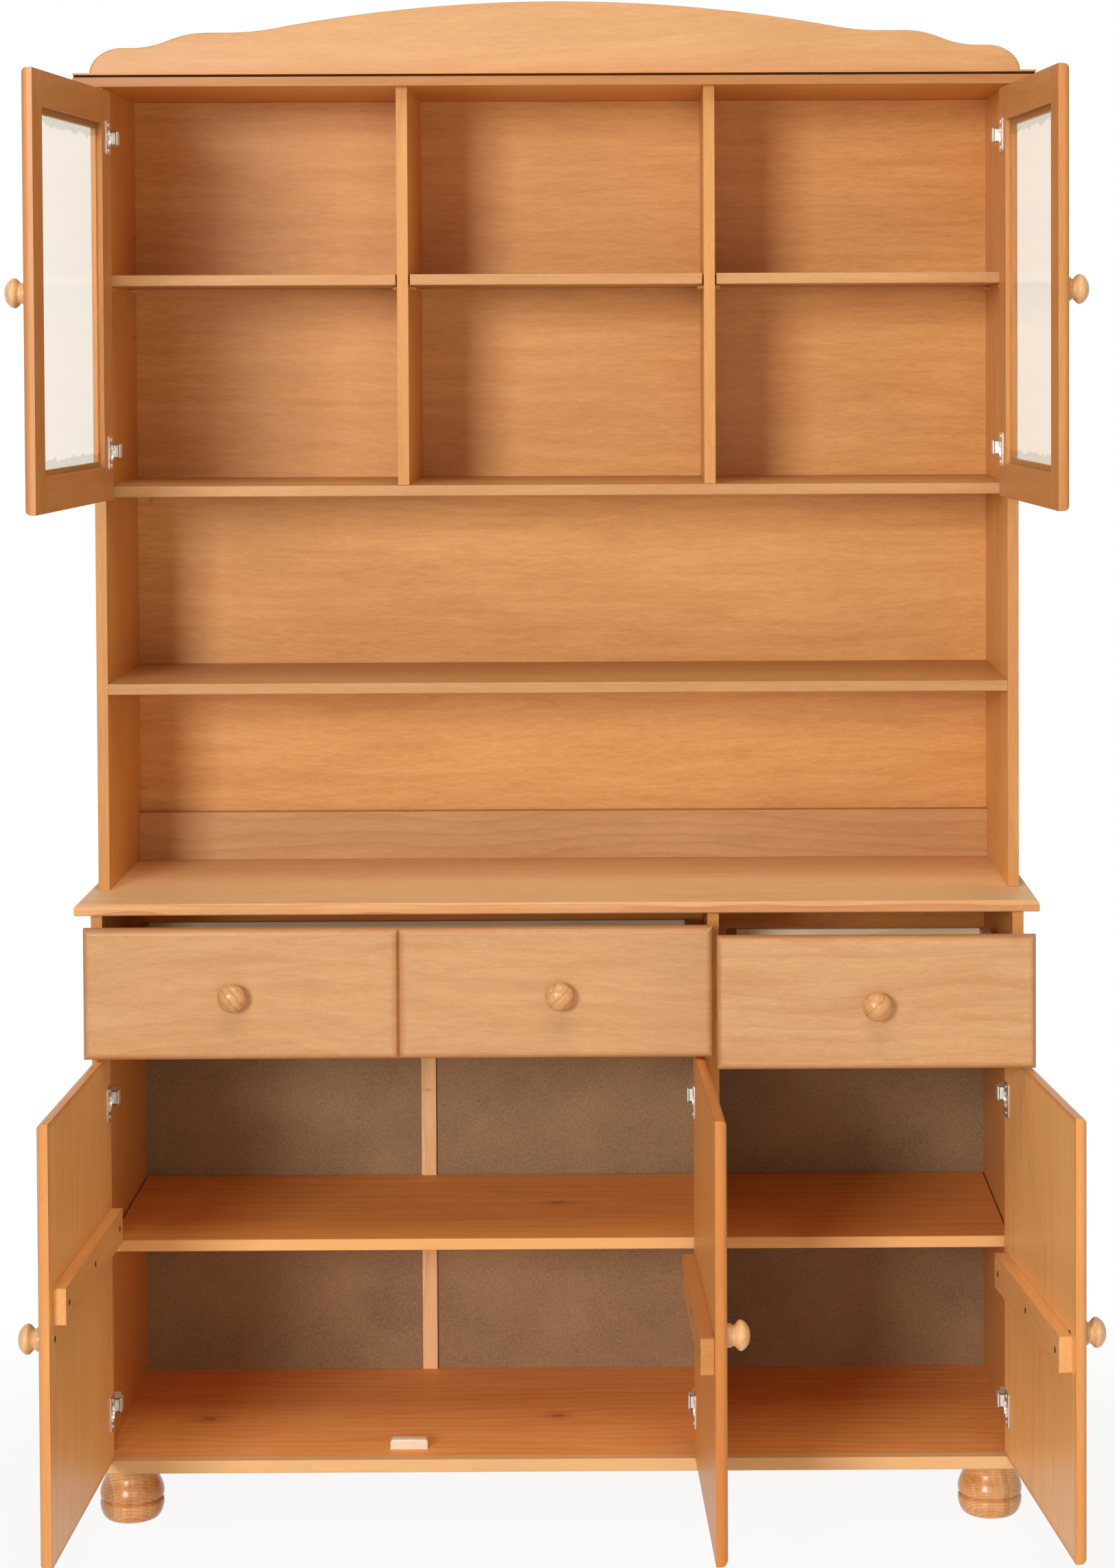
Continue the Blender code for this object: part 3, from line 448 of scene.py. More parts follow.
bottom_oak = wood("bottom_oak", "x", (0.98, 0.475, 0.16), (0.86, 0.35, 0.092), oak_line,
                  figure=1.1, streaks=0.7, rings=0.28, ring_width=0.021, roughness=0.62, coat=0.0,
                  heart=(0.7, 0.22, -0.05))
# Front edges painted paler: painted light.
for finish, front, painted_light_lip in ((bottom_oak, bottom_front, (0.77, 0.52, 0.275)),
                           (shelf_oak, shelf_front, (0.86, 0.50, 0.22))):
    _, (_, depth, _) = place_in(finish)
    coat_over(finish, below(finish, depth, front), painted_light_lip, 0.7)
knot(bottom_oak, (-0.008, 0.196, 0.1015), (0.013, 0.010, 0.02), knot_tone)
knot(bottom_oak, (-0.524, 0.189, 0.1015), (0.016, 0.011, 0.02), knot_tone, 0.65)
knot(shelf_oak, (-0.008, 0.252, 0.4055), (0.016, 0.010, 0.02), knot_tone, 0.6)
dress(bottom_oak, "bottom_panel")
dress(shelf_oak, "base_shelf_left", "base_shelf_right")

# Backs: the hutch has one sheet with a lively figured veneer laid level, the base two brown
# hardboard sheets of pressed fibre, fine speckle over soft mottling, nailed on from behind.
back_veneer = wood("back_veneer", "x", (0.82, 0.43, 0.145), (0.62, 0.265, 0.068),
                   oak_line, figure=0.9, streaks=0.8, rings=0.08, ring_width=0.02)
knot(back_veneer, (-0.6343, 0.4296, 1.4534), (0.0022, 0.01, 0.0035), knot_tone, 0.6)
dress(back_veneer, "hutch_back")
hardboard, tree, shader, spot = material("brown_hardboard")
fibre = noise(tree, spot, 620.0, 4.0, Roughness=0.75)
mottle = noise(tree, spot, 8.0, 3.0)
shade = sums(tree, 'ADD', times(tree, mottle, 0.30), times(tree, fibre, 0.90))
ramp = add(tree, 'ShaderNodeValToRGB', {"Fac": shade})
for stop, position, tone in zip(ramp.color_ramp.elements, (0.42, 0.80),
                                ((0.150, 0.086, 0.037, 1), (0.42, 0.256, 0.124, 1))):
    stop.position = position
    stop.color = tone
surface(tree, shader, ramp.outputs[0], sums(tree, 'MULTIPLY_ADD', fibre, 0.3, 0.5), fibre, 0.15,
        0.0006)
dress(hardboard, "base_back_left", "base_back_right")

# Doors and drawer fronts: rounded boards, grain upright on the doors and level on the drawers,
# with redder, darker borders painted on their rounded edges and along and in the groove: painted
# shade where the rounding and the groove turn from the light.
# Tone of worn arrises and of painted shade in creases and rebates.
edge_wear_and_shade_tone = (0.52, 0.23, 0.085)
# Tones of the painted shade on rounded edges and in the groove.
rim_shade_tone = (0.84, 0.68, 0.59)
groove_shade_tone = (0.46, 0.19, 0.07)
rim_width = 0.0095
thick = 1.0
plain = (1.0, 1.0, 1.0)
drawer_light = (0.65, 0.37, 0.175)
drawer_dark = (0.53, 0.26, 0.107)
right_gain = (1.07, 1.14, 1.22)
groove_half = 0.0025
middle_rim_shade = (0.88, 0.76, 0.68)
# Door oak, lighter than the drawer fronts' oak: painted light on the open doors' inner faces and
# edges, which stand sideways to the lamps. front_tone takes the face a shut door shows back down
# to about the drawer fronts' tone.
door_light_with_painted_light = (0.98, 0.56, 0.215)
door_dark_with_painted_light = (0.88, 0.445, 0.155)
middle_gain = (0.80, 0.64, 0.50)
front_tone = (0.70, 0.70, 0.80)
front_skin = 0.0015
batten_light = (0.88, 0.47, 0.18)
batten_dark = (0.75, 0.355, 0.12)
frame_light = (0.66, 0.305, 0.11)
frame_dark = (0.55, 0.225, 0.07)


def rim_shaded(finish, low, high, fold=None, tone=rim_shade_tone):
    """Painted shade along a board's outline, along both sides of a groove at X = fold and in it.
    """
    tree = finish.node_tree
    spot, (x, y, z) = place_in(finish)
    if fold is not None:
        aside = sums(tree, 'ABSOLUTE', sums(tree, 'SUBTRACT', x, fold))
        spot = add(tree, 'ShaderNodeCombineXYZ', {0: aside, 1: y, 2: z}).outputs[0]
    rim = add(tree, 'ShaderNodeGroup', {"Vector": spot, "Low": low, "High": high,
                                        "Width": rim_width}, node_tree=board_rim).outputs
    tinge(finish, rim["Rim"], tone)
    if fold is not None:
        # Inside the groove itself: a darker painted shade.
        coat_over(finish, rim["Beyond"], groove_shade_tone, 0.35)
    return finish


def front_mask(finish, panel, sign):
    """1 on the face a closed door shows, whose flat face has normal n and lies at n . p = d."""
    face = max((f for f in panel.data.polygons if f.normal.x * sign > 0.5), key=lambda f: f.area)
    spot, _ = place_in(finish)
    depth = vectors(finish.node_tree, 'DOT_PRODUCT', spot, tuple(face.normal), output="Value")
    return past(finish, depth, face.normal.dot(face.center) - front_skin)


def gained(tones, gain):
    """Tones with each channel times its gain."""
    return [tuple(np.multiply(tone, gain)) for tone in tones]


for name, gain, heart in (("drawer_left", plain, (1.1, -0.35, -0.62)),
                          ("drawer_right", right_gain, (0.4, -0.28, -0.98))):
    low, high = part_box(name + "_front")
    fold = (low.x + high.x) / 2 if name == "drawer_left" else None
    low_x, high_x = (groove_half, (high.x - low.x) / 2) if fold is not None else (low.x, high.x)
    finish = wood(name + "_oak", "x", *gained((drawer_light, drawer_dark), gain), oak_line,
                  figure=1.1, rings=0.16, heart=heart)
    dress(rim_shaded(finish, (low_x, low.y - thick, low.z), (high_x, high.y + thick, high.z), fold),
          name + "_front")
for name, gain, tone, front, heart in (
        ("door_left", plain, rim_shade_tone, -1, (0.2, 0.1, 0.43)),
        ("door_middle", middle_gain, middle_rim_shade, 1, (0.5, -0.3, 0.2)),
        ("door_right", plain, rim_shade_tone, 1, (0.1, 0.3, -0.4))):
    low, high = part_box(name + "_panel")
    finish = wood(name + "_oak", "z", *gained((door_light_with_painted_light, door_dark_with_painted_light), gain), oak_line,
                  rings=0.14, heart=heart)
    # The outer face loses the painted light.
    tinge(finish, front_mask(finish, nodes[name + "_panel"], front),
          tuple(np.divide(front_tone, gain)))
    dress(rim_shaded(finish, (low.x - thick, low.y, low.z), (high.x + thick, high.y, high.z),
                 tone=tone), name + "_panel")
for name, gain, battens in (
        ("batten_oak", plain, ("door_left_batten", "door_right_batten")),
        ("middle_batten_oak", (0.78, 0.68, 0.60), ("door_middle_batten",))):
    dress(wood(name, "y", *gained((batten_light, batten_dark), gain), oak_line, rings=0.16,
               worn_and_shaded=edge_wear_and_shade_tone, worn_and_shaded_amount=0.35, heart=(0.5, 0.1, 0.2)), *battens)
for name, along, heart, parts in (
        ("stile_oak", "z", (0.2, 0.1, 0.43), ("_stile_left", "_stile_right")),
        ("rail_oak", "y", (0.5, 0.1, 0.2), ("_rail_lower", "_rail_upper"))):
    dress(wood(name, along, frame_light, frame_dark, oak_line, rings=0.16, worn_and_shaded=edge_wear_and_shade_tone,
               worn_and_shaded_amount=0.4, heart=heart),
          *("glass_door_" + side + part for side in ("left", "right") for part in parts))

# Panes: clear glass with a faint warm tint, held in the rebate of each glazed door, with a
# greyed wavy band along its top and bottom.
pane_middle = 1.7645
band_starts = 0.2335
band_blur = 0.0015
band_wave = 0.018
glass, tree, shader, spot = material("clear_glass")
smears = noise(tree, spot, 9.0, 4.0)
tint = blend(tree, smears, (1.0, 0.968, 0.875, 1), (0.995, 0.95, 0.85, 1))
height = add(tree, 'ShaderNodeSeparateXYZ', {0: spot}).outputs["Z"]
from_middle = sums(tree, 'ABSOLUTE', sums(tree, 'SUBTRACT', height, pane_middle))
edge = sums(tree, 'ADD', from_middle, times(tree, noise(tree, spot, 42.0, 1.0), band_wave))
band = between(tree, edge, band_starts, band_starts + band_blur)
banded = blend(tree, times(tree, band, 0.8), tint, (0.72, 0.72, 0.63, 1))
tree.links.new(banded, shader["Base Color"])
tree.links.new(times(tree, smears, 0.05), shader["Roughness"])
shader["Transmission Weight"].default_value = 1.0
shader["IOR"].default_value = 1.08
shader["Specular IOR Level"].default_value = 0.2
dress(glass, "glass_door_left_pane", "glass_door_right_pane")

# Drawer boxes: pale unstained boards with a thin bottom slid into grooves. The sides' grain runs
# from front to rear, that of the backs and bottoms from side to side.
box_line = (0.55, 0.36, 0.18)
side_wood = wood("side_wood", "y", (0.80, 0.55, 0.34), (0.67, 0.43, 0.25), box_line,
                 rings=0.2, roughness=0.6, coat=0.0, heart=(0.3, 0.2, -0.7))
# The backs and bottoms take a paler wood than the sides: pale in their own right, and paler still
# as painted light, for they lie in the worktop's shadow.
box_wood = wood("box_wood", "x", (1.0, 0.88, 0.64), (0.93, 0.75, 0.49), box_line,
                rings=0.4, ring_width=0.008, roughness=0.6, coat=0.0, heart=(0.3, 0.2, -0.7))
for name in nodes:
    if name.startswith("drawer_") and not name.endswith("_front") and "knob" not in name:
        dress(side_wood if "_side_" in name else box_wood, name)

# Feet: bun feet turned from glued-up oak blocks, each with a bead, a groove and a belly, with
# a glossy lacquer over strongly striped grain.
foot_height = 0.0827
foot_radius = 0.0463
foot_spots = {"foot_front_left": (-0.621, 0.0705), "foot_front_right": (0.621, 0.0705),
              "foot_rear_left": (-0.621, 0.3675), "foot_rear_right": (0.621, 0.3675)}
foot_profile = np.array((
    (0.80, 1.0), (0.835, 0.965), (0.815, 0.915), (0.805, 0.83), (0.815, 0.755), (0.865, 0.675),
    (0.935, 0.59), (0.985, 0.50), (0.995, 0.44), (0.985, 0.385), (0.935, 0.358), (0.895, 0.342),
    (0.935, 0.326), (0.985, 0.30), (0.995, 0.255), (0.985, 0.20), (0.955, 0.135), (0.905, 0.07),
    (0.835, 0.020), (0.75, 0.0)))
stave_width = 0.0115
stave_turn = math.radians(28)
weld = 1e-6


def smooth_path(points, count):
    """A curve through points (Catmull-Rom): each stretch is the cubic whose slopes at its ends
    are half the step between the neighbours."""
    points = np.asarray(points, float)
    padded = np.vstack((2 * points[0] - points[1], points, 2 * points[-1] - points[-2]))
    t = np.linspace(0, len(points) - 1 - 1e-9, count)
    i = t.astype(int)
    s = (t - i)[:, None]
    a, b, c, d = (padded[i + k] for k in range(4))
    return 0.5 * (2 * b + (c - a) * s + (2 * a - 5 * b + 4 * c - d) * s ** 2
                  + (3 * b - a - 3 * c + d) * s ** 3)


def skin(name, stacks, finish):
    """A closed surface through each stack of closed rings, shaped (rings, points, 3), with its
    first and last ring filled: vertex (i, j) joins (i, j + 1) and (i + 1, j)."""
    points, faces, start = [], [], 0
    for rings in stacks:
        count, around = rings.shape[:2]
        index = start + np.arange(count * around).reshape(count, around)
        step = np.roll(index, -1, axis=1)
        quads = np.stack((index[:-1], step[:-1], step[1:], index[1:]), axis=-1)
        faces += quads.reshape(-1, 4).tolist() + [index[0][::-1].tolist(), index[-1].tolist()]
        points.append(rings.reshape(-1, 3))
        start += count * around
    mesh = bpy.data.meshes.new(name)
    mesh.from_pydata(np.concatenate(points).tolist(), [], faces)
    form = bmesh.new()
    form.from_mesh(mesh)
    bmesh.ops.remove_doubles(form, verts=form.verts, dist=weld)
    bmesh.ops.recalc_face_normals(form, faces=form.faces)
    form.to_mesh(mesh)
    form.free()
    mesh.materials.append(finish)
    piece = bpy.data.objects.new(name, mesh)
    bpy.context.scene.collection.objects.link(piece)
    return piece


def soften(piece, angle):
    """Smooth shading up to an angle between faces."""
    mesh = piece.data
    mesh.shade_smooth()
    form = bmesh.new()
    form.from_mesh(mesh)
    for edge in form.edges:
        edge.smooth = len(edge.link_faces) == 2 and edge.calc_face_angle(0) < math.radians(angle)
    form.to_mesh(mesh)
    form.free()


def fitted(name, stacks, finish, body, angle=40.0, stands_for=None):
    """A closed piece through stacks of rings, smooth up to an angle between faces, that rides a
    body, takes the finish given and may hide the CAD node it stands for."""
    piece = skin(name, stacks, finish)
    if angle:
        soften(piece, angle)
    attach(piece, body)
    if stands_for:
        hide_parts(stands_for)


def turned(profile, around):
    """Rings of a turned shape: each (radius, height) of the profile swept about the Z axis."""
    turn = np.linspace(0, 2 * math.pi, around, endpoint=False)
    radius, height = profile[:, :1], profile[:, 1:]
    return np.stack((radius * np.cos(turn), radius * np.sin(turn),
                     height + 0 * turn), axis=-1)


foot_oak = wood("foot_oak", "x", (0.97, 0.55, 0.23), (0.70, 0.31, 0.105), (0.32, 0.10, 0.03),
                figure=1.2, streaks=1.0, rings=0.5, ring_width=0.0042, roughness=0.24, coat=0.35,
                heart=(0.0, 0.013, 0.05), relief=0.05)
tree = foot_oak.node_tree
spot, (x, y, z) = place_in(foot_oak)
across = sums(tree, 'ADD', times(tree, x, math.cos(stave_turn) / stave_width),
              times(tree, y, math.sin(stave_turn) / stave_width))
tone = add(tree, 'ShaderNodeTexWhiteNoise', {"W": sums(tree, 'FLOOR', across)},
           noise_dimensions='1D').outputs["Value"]
tinge(foot_oak, tone, (0.60, 0.47, 0.36), 0.8)
coat_over(foot_oak, between(tree, sums(tree, 'FRACT', across), 0.12, 0.0), (0.95, 0.60, 0.27),
          0.45)
foot_rings = turned(smooth_path(foot_profile, 110) * (foot_radius, foot_height), 72)
for name, (x, y) in foot_spots.items():
    fitted("turned_" + name, [foot_rings + (x, y, 0)], foot_oak, "root",
           stands_for=name)

# Knobs: one turned pattern for doors and drawers, a collar, a short neck and a domed head,
# screwed on from behind. The grain runs slantwise across the head.
knob_radius = 0.020
knob_length = 0.0315
knob_seat = 0.0003
knob_profile = np.array((
    (0.0, 1.0), (0.18, 0.995), (0.36, 0.975), (0.54, 0.935), (0.70, 0.875), (0.84, 0.795),
    (0.94, 0.715), (0.99, 0.64), (1.0, 0.58), (0.965, 0.52), (0.88, 0.455), (0.78, 0.40),
    (0.705, 0.345), (0.68, 0.295), (0.70, 0.25), (0.755, 0.215), (0.785, 0.18), (0.775, 0.135),
    (0.78, 0.06), (0.775, 0.0)))
base_door = {"inner": 0.0175, "low": 0.1045, "high": 0.688, "knob": (0.035, 0.398),
             "cup": 0.070, "width": 0.442}
glass_door = {"inner": 0.1185, "low": 1.4705, "high": 2.0585, "knob": (0.037, 1.763),
              "cup": 0.068, "width": 0.4445}
doors = {
    "door_left": {**base_door, "edge": -0.6643, "inward": 1, "opened": 91.6, "batten": 0.445},
    "door_middle": {**base_door, "edge": 0.2207, "inward": -1, "opened": 92.7, "batten": 0.375},
    "door_right": {**base_door, "edge": 0.6643, "inward": -1, "opened": 95.9, "batten": 0.375,
                   "width": 0.4405},
    "glass_door_left": {**glass_door, "edge": -0.669, "inward": 1, "opened": 94.2},
    "glass_door_right": {**glass_door, "edge": 0.669, "inward": -1, "opened": 93.9},
}
door_thickness = 0.016
pivot_inset = 0.0095
pivot_setback = 0.018
left_to_right = (1, 0, 0)
upwards = (0, 0, 1)
forwards = (0, -1, 0)
backwards = (0, 1, 0)


def swing(points, door):
    """Points of a shut door turned about its hinge axis to where the door stands open."""
    angle = -door["inward"] * math.radians(door["opened"])
    axis = np.array((door["edge"] + door["inward"] * pivot_inset,
                     door["inner"] - pivot_setback, 0.0))
    turn = np.array(((math.cos(angle), -math.sin(angle), 0),
                     (math.sin(angle), math.cos(angle), 0), (0, 0, 1)))
    return (np.asarray(points) - axis) @ turn.T + axis


def laid(rings, spot, across=left_to_right, up=upwards, out=backwards):
    """Rings made round Z, moved so that their X, Y and Z run across, up and out from a spot."""
    return rings @ np.array((across, up, out), float) + spot


def knob_wood(name, lean, light, dark, spacing, amount):
    """Knob wood whose grain rises across the head by an angle in degrees, with thin red lines
    where the fraction of (z cos a - x sin a) over a spacing, bent by noise, is near a half."""
    lean = math.radians(lean)
    finish = wood(name, "x", light, dark, (0.42, 0.17, 0.06), figure=1.0, streaks=0.9, rings=0.3,
                  ring_width=0.0075, roughness=0.25, coat=0.2, heart=(0.02, 0.2, 0.6),
                  turn=(0, lean, 0), relief=0.04)
    tree = finish.node_tree
    spot, (x, y, z) = place_in(finish)
    across = sums(tree, 'SUBTRACT', times(tree, z, math.cos(lean) / spacing),
                  times(tree, x, math.sin(lean) / spacing))
    across = sums(tree, 'MULTIPLY_ADD', noise(tree, spot, 55.0, 2.0), 0.8, across)
    apart = sums(tree, 'ABSOLUTE', sums(tree, 'SUBTRACT', sums(tree, 'FRACT', across), 0.5))
    return coat_over(finish, between(tree, apart, 0.10, 0.02), (0.38, 0.13, 0.04), amount)


slant_light = (0.76, 0.42, 0.185)
slant_dark = (0.58, 0.28, 0.105)
slant_oak = knob_wood("slant_oak", 48, slant_light, slant_dark, 0.014, 0.55)
fall_oak = knob_wood("fall_oak", -50, slant_light, slant_dark, 0.0095, 0.65)
side_oak = knob_wood("side_oak", 82, (0.94, 0.60, 0.315), (0.79, 0.43, 0.20), 0.013, 0.3)
drawer_knobs = (("drawer_left", "_knob_left", -0.453, fall_oak),
                ("drawer_left", "_knob_right", 0.005, slant_oak),
                ("drawer_right", "_knob", 0.444, slant_oak))
drawer_knob_height = 0.781
knob_rings = turned(smooth_path(knob_profile, 72) * (knob_radius, knob_length), 48)
for door_name, door in doors.items():
    inset, height = door["knob"]
    spot = (door["edge"] + door["inward"] * (door["width"] - inset),
            door["inner"] - door_thickness - knob_seat, height)
    fitted("turned_" + door_name + "_knob", [swing(laid(knob_rings, spot, out=forwards), door)],
           side_oak, door_name, stands_for=door_name + "_knob")
for drawer_name, suffix, x, finish in drawer_knobs:
    spot = (x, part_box(drawer_name + "_front")[0].y - knob_seat, drawer_knob_height)
    fitted("turned_" + drawer_name + suffix, [laid(knob_rings, spot, out=forwards)], finish,
           drawer_name, stands_for=drawer_name + suffix)

# Concealed hinges: a nickel-plated cup with its flange pressed into the door, and on the carcass
# a folded arm on a wing plate, whose curved tongue reaches into the cup. All are screwed on.
cup_inset = 0.0188
cup_wall = 0.01185
cup_bore = 0.01225
screw_rise = 0.0185
flange_half_x, flange_half_z = 0.0132, 0.0252
flange_corner = 0.005
flange_face = 0.0018
arm_starts = 0.0207
arm_ends = 0.0662
arm_inboard = 0.0195
arm_half = 0.0079
arm_screw = 0.054
head_inboard = 0.0268
head_plate = 0.0018
head_setback = 0.0013
head_ends = 0.0400
head_low = -0.0079
head_high = 0.0112
skin_over = 0.0004
plate_starts = 0.0429
plate_ends = 0.0649
plate_half = 0.0253
plate_proud = 0.0021
plate_screw = 0.0539
tongue_near = 0.02058
tongue_far = 0.02202
hinge_turns = 32
walls = {"door_middle": -0.003}
usual_wall = 0.0055


def plated_metal(name, colour, roughness, metallic=1.0):
    """Plated steel, or painted shade for a hollow when it isn't metallic: fine brushing, faint
    cloudiness.
    """
    finish, tree, shader, spot = material(name)
    shader["Metallic"].default_value = metallic
    cloud = noise(tree, spot, 180.0, 4.0)
    lines = noise(tree, vectors(tree, 'MULTIPLY', spot, (2600.0, 2600.0, 260.0)), 1.0, 2.0)
    surface(tree, shader, blend(tree, cloud, (*colour, 1), (*(0.78 * c for c in colour), 1)),
            sums(tree, 'MULTIPLY_ADD', lines, 0.18, roughness), lines, 0.08, 0.0002)
    return finish


nickel = plated_metal("nickel_plate", (0.88, 0.84, 0.78), 0.2, 0.85)
zinc = plated_metal("zinc_plate", (0.96, 0.93, 0.88), 0.28, 0.4)
# Near-black for the hinge arms' gap bars: painted shade.
hinge_black = plated_metal("hinge_black", (0.11, 0.082, 0.062), 0.5, 0.3)


def corners(half_x, half_y, radius, height, around=hinge_turns):
    """A rounded rectangle at a height: each direction of a circle of the corner radius, moved
    out to the corner centre on its own side."""
    turn = (np.arange(around) + 0.5) / around * 2 * math.pi
    cosine, sine = np.cos(turn), np.sin(turn)
    return np.stack((np.sign(cosine) * (half_x - radius) + radius * cosine,
                     np.sign(sine) * (half_y - radius) + radius * sine,
                     np.full(around, float(height))), axis=-1)


def circles(pairs, around=hinge_turns):
    """Circles of (radius, height), with their points in step with those of corners()."""
    return [corners(radius, radius, radius, height, around) for radius, height in pairs]


def screw_head(radius, height, arm, slot, sink):
    """A domed head with a cross recess: over a polar grid the height is the dome
    h (1 - (r / R)^2) less the sink wherever a point lies within either bar of the cross."""
    turn = (np.arange(hinge_turns) + 0.5) / hinge_turns * 2 * math.pi
    share = np.array((1.0, 1.0, 0.97, 0.86, 0.74, 0.62, 0.5, 0.38, 0.26, 0.12, 0.03))[:, None]
    x, y = radius * share * np.cos(turn), radius * share * np.sin(turn)
    dome = 0.45 * height + 0.55 * height * (1 - share ** 2) + 0 * turn
    dome[0] = -height
    in_bar = (((abs(x) < slot) & (abs(y) < arm)) | ((abs(y) < slot) & (abs(x) < arm)))
    return np.stack((x, y, dome - sink * in_bar), axis=-1)


hinge_screw = screw_head(0.0032, 0.0009, 0.0019, 0.0005, 0.0005)
cup_stack = np.stack([
    *circles(((0.0004, -0.0101), (0.0095, -0.0102), (0.0111, -0.0097), (cup_wall, -0.0085),
              (cup_wall, 0.0016), (0.0120, 0.0021), (0.0124, 0.0021), (0.0127, 0.0018))),
    *(corners(flange_half_x - inset, flange_half_z - inset, flange_corner, height)
      for inset, height in ((0.0004, 0.0018), (0.0, 0.0013), (0.0, 0.0002), (0.0006, 0.0002))),
    *circles(((cup_bore, 0.0001), (cup_bore, -0.0105), (0.0004, -0.0107)))])
tongue_turn = np.radians(np.linspace(14.5, 67.4, 22))
tongue_reach = np.where(tongue_turn < math.radians(30),
                        np.minimum(0.0209 / np.cos(tongue_turn), 0.0111 / np.sin(tongue_turn)),
                        tongue_far)
tongue_section = corners(0.5, 0.00312, 0.0006, 0.0, 16)
tongue_radius = (tongue_near + tongue_reach)[:, None] / 2 \
    + (tongue_reach - tongue_near)[:, None] * np.sign(tongue_section[:, 0]) / 2
tongue_stack = np.stack((tongue_radius * np.sin(tongue_turn)[:, None],
                         tongue_radius * np.cos(tongue_turn)[:, None],
                         tongue_section[:, 1] + 0 * tongue_radius), axis=-1)


def lengthwise(half_x, half_z, radius, ends, spot, around=16):
    """Rounded sections along Y, each (depth, inset from the full half width and height)."""
    rings = [corners(half_x - inset, half_z - inset, radius, depth, around)
             for depth, inset in ends]
    return np.stack(rings)[..., [0, 2, 1]] + spot


def arm_stack(wall):
    """The arm from front to rear, from the carcass wall inboard, with chamfered ends."""
    return lengthwise((arm_inboard - wall) / 2 + skin_over, arm_half, 0.0011,
                      ((arm_starts, 0.0006), (arm_starts + 0.0005, 0.0),
                       (arm_ends - 0.0008, 0.0), (arm_ends, 0.0008)),
                      ((wall + arm_inboard) / 2, 0, 0))


def head_stacks(wall):
    """The arm's folded head: a body set back a little and the bright plate that closes it on
    the inboard side."""
    seam = head_inboard - head_plate
    return [lengthwise((high_x - low_x) / 2, (head_high - head_low) / 2 - lower, 0.0006,
                       ((arm_starts + setback, 0.0003), (arm_starts + setback + 0.0003, 0.0),
                        (head_ends - 0.0003, 0.0), (head_ends, 0.0003)),
                       ((low_x + high_x) / 2, 0, (head_low + head_high) / 2))
            for low_x, high_x, setback, lower in ((wall, seam, head_setback, 0.0005),
                                                  (seam, head_inboard, 0.0, 0.0))]


def gap_stacks(wall):
    """Painted shade: thin dark bars laid on the front of the arm, in the slots between the links
    at the arm's mouth and along its closing plate, and as the shadow line over and under the head."""
    seam = head_inboard - head_plate
    middle, half = (wall + seam) / 2, (seam - wall) / 2
    bars = ((wall + 0.0050, 0.0035, -0.0024, 0.0006), (wall + 0.0050, 0.0035, 0.0036, 0.0006),
            (seam - 0.0004, 0.0004, (head_high + head_low) / 2,
             (head_high - head_low) / 2 - 0.0012),
            (middle, half, head_low + 0.0002, 0.0005), (middle, half, head_high - 0.0002, 0.0005))
    return [lengthwise(half_x, half_z, 0.0002, ((arm_starts - 0.0004, 0.0),
                                                (arm_starts + 0.0020, 0.0)), (x, 0, z), 8)
            for x, half_x, z, half_z in bars]


def plate_stack(wall):
    """The wing plate as rounded outlines, from the carcass face outwards."""
    half_y = (plate_ends - plate_starts) / 2 + 0.0003
    heights = ((wall - skin_over, 0.0), (wall + plate_proud - skin_over, 0.0),
               (wall + plate_proud, 0.0004))
    rings = [corners(half_y - inset, plate_half - inset, 0.0011, height, 16)
             for height, inset in heights]
    return np.stack(rings)[..., [2, 0, 1]] + (0, (plate_starts + plate_ends) / 2, 0)


for door_name, door in doors.items():
    inward = door["inward"]
    wall = walls.get(door_name, usual_wall)
    for level, height in (("lower", door["low"] + door["cup"]),
                          ("upper", door["high"] - door["cup"])):
        name = door_name + "_" + level
        centre = np.array((door["edge"] + inward * cup_inset, door["inner"], height))
        cup = [laid(cup_stack, centre), *(laid(hinge_screw, centre + (0, flange_face, rise))
                                          for rise in (-screw_rise, screw_rise))]
        fitted("hinge_cup_" + name, [swing(stack, door) for stack in cup], nickel, door_name,
               30)
        screws = [(plate_proud + wall, plate_screw, -screw_rise),
                  (plate_proud + wall, plate_screw, screw_rise),
                  (arm_inboard + skin_over, arm_screw, 0.0)]
        parts = [tongue_stack, arm_stack(wall), plate_stack(wall), *head_stacks(wall),
                 *(laid(hinge_screw, spot, backwards, upwards, left_to_right)
                   for spot in screws)]
        home = (door["edge"] + inward * pivot_inset, door["inner"] - pivot_setback, height)
        for title, group, finish in (("hinge_arm_", parts, zinc),
                                     ("hinge_shade_bars_", gap_stacks(wall), hinge_black)):
            fitted(title + name, [part * (inward, 1, 1) + home for part in group], finish,
                   "root", 30)

# Screws in the doors: three through each batten in dark bronzed steel, sunk in their countersunk
# holes, and one from inside for each base door's knob. The holes' mouths and the knob screw are
# near-black painted shade.
batten_face = 0.0183
batten_screw_inset = 0.041
batten_hole_floor = 0.0093
bronze = plated_metal("bronzed_steel", (0.10, 0.055, 0.03), 0.35)
hole_dark = plated_metal("hole_dark", (0.05, 0.02, 0.01), 0.6, 0.0)
batten_screw = screw_head(0.0027, 0.0006, 0.0016, 0.00045, 0.0004)
knob_screw = screw_head(0.0046, 0.0008, 0.0028, 0.0008, 0.0006)
dimple = np.stack(circles((
    (0.0003, -0.0046), (0.0028, -0.0044), (0.0028, -0.0002), (0.0045, -0.0001),
    (0.0045, 0.00013), (0.0041, 0.00016), (0.0026, 0.0001), (0.0025, -0.004),
    (0.0003, -0.0042))))
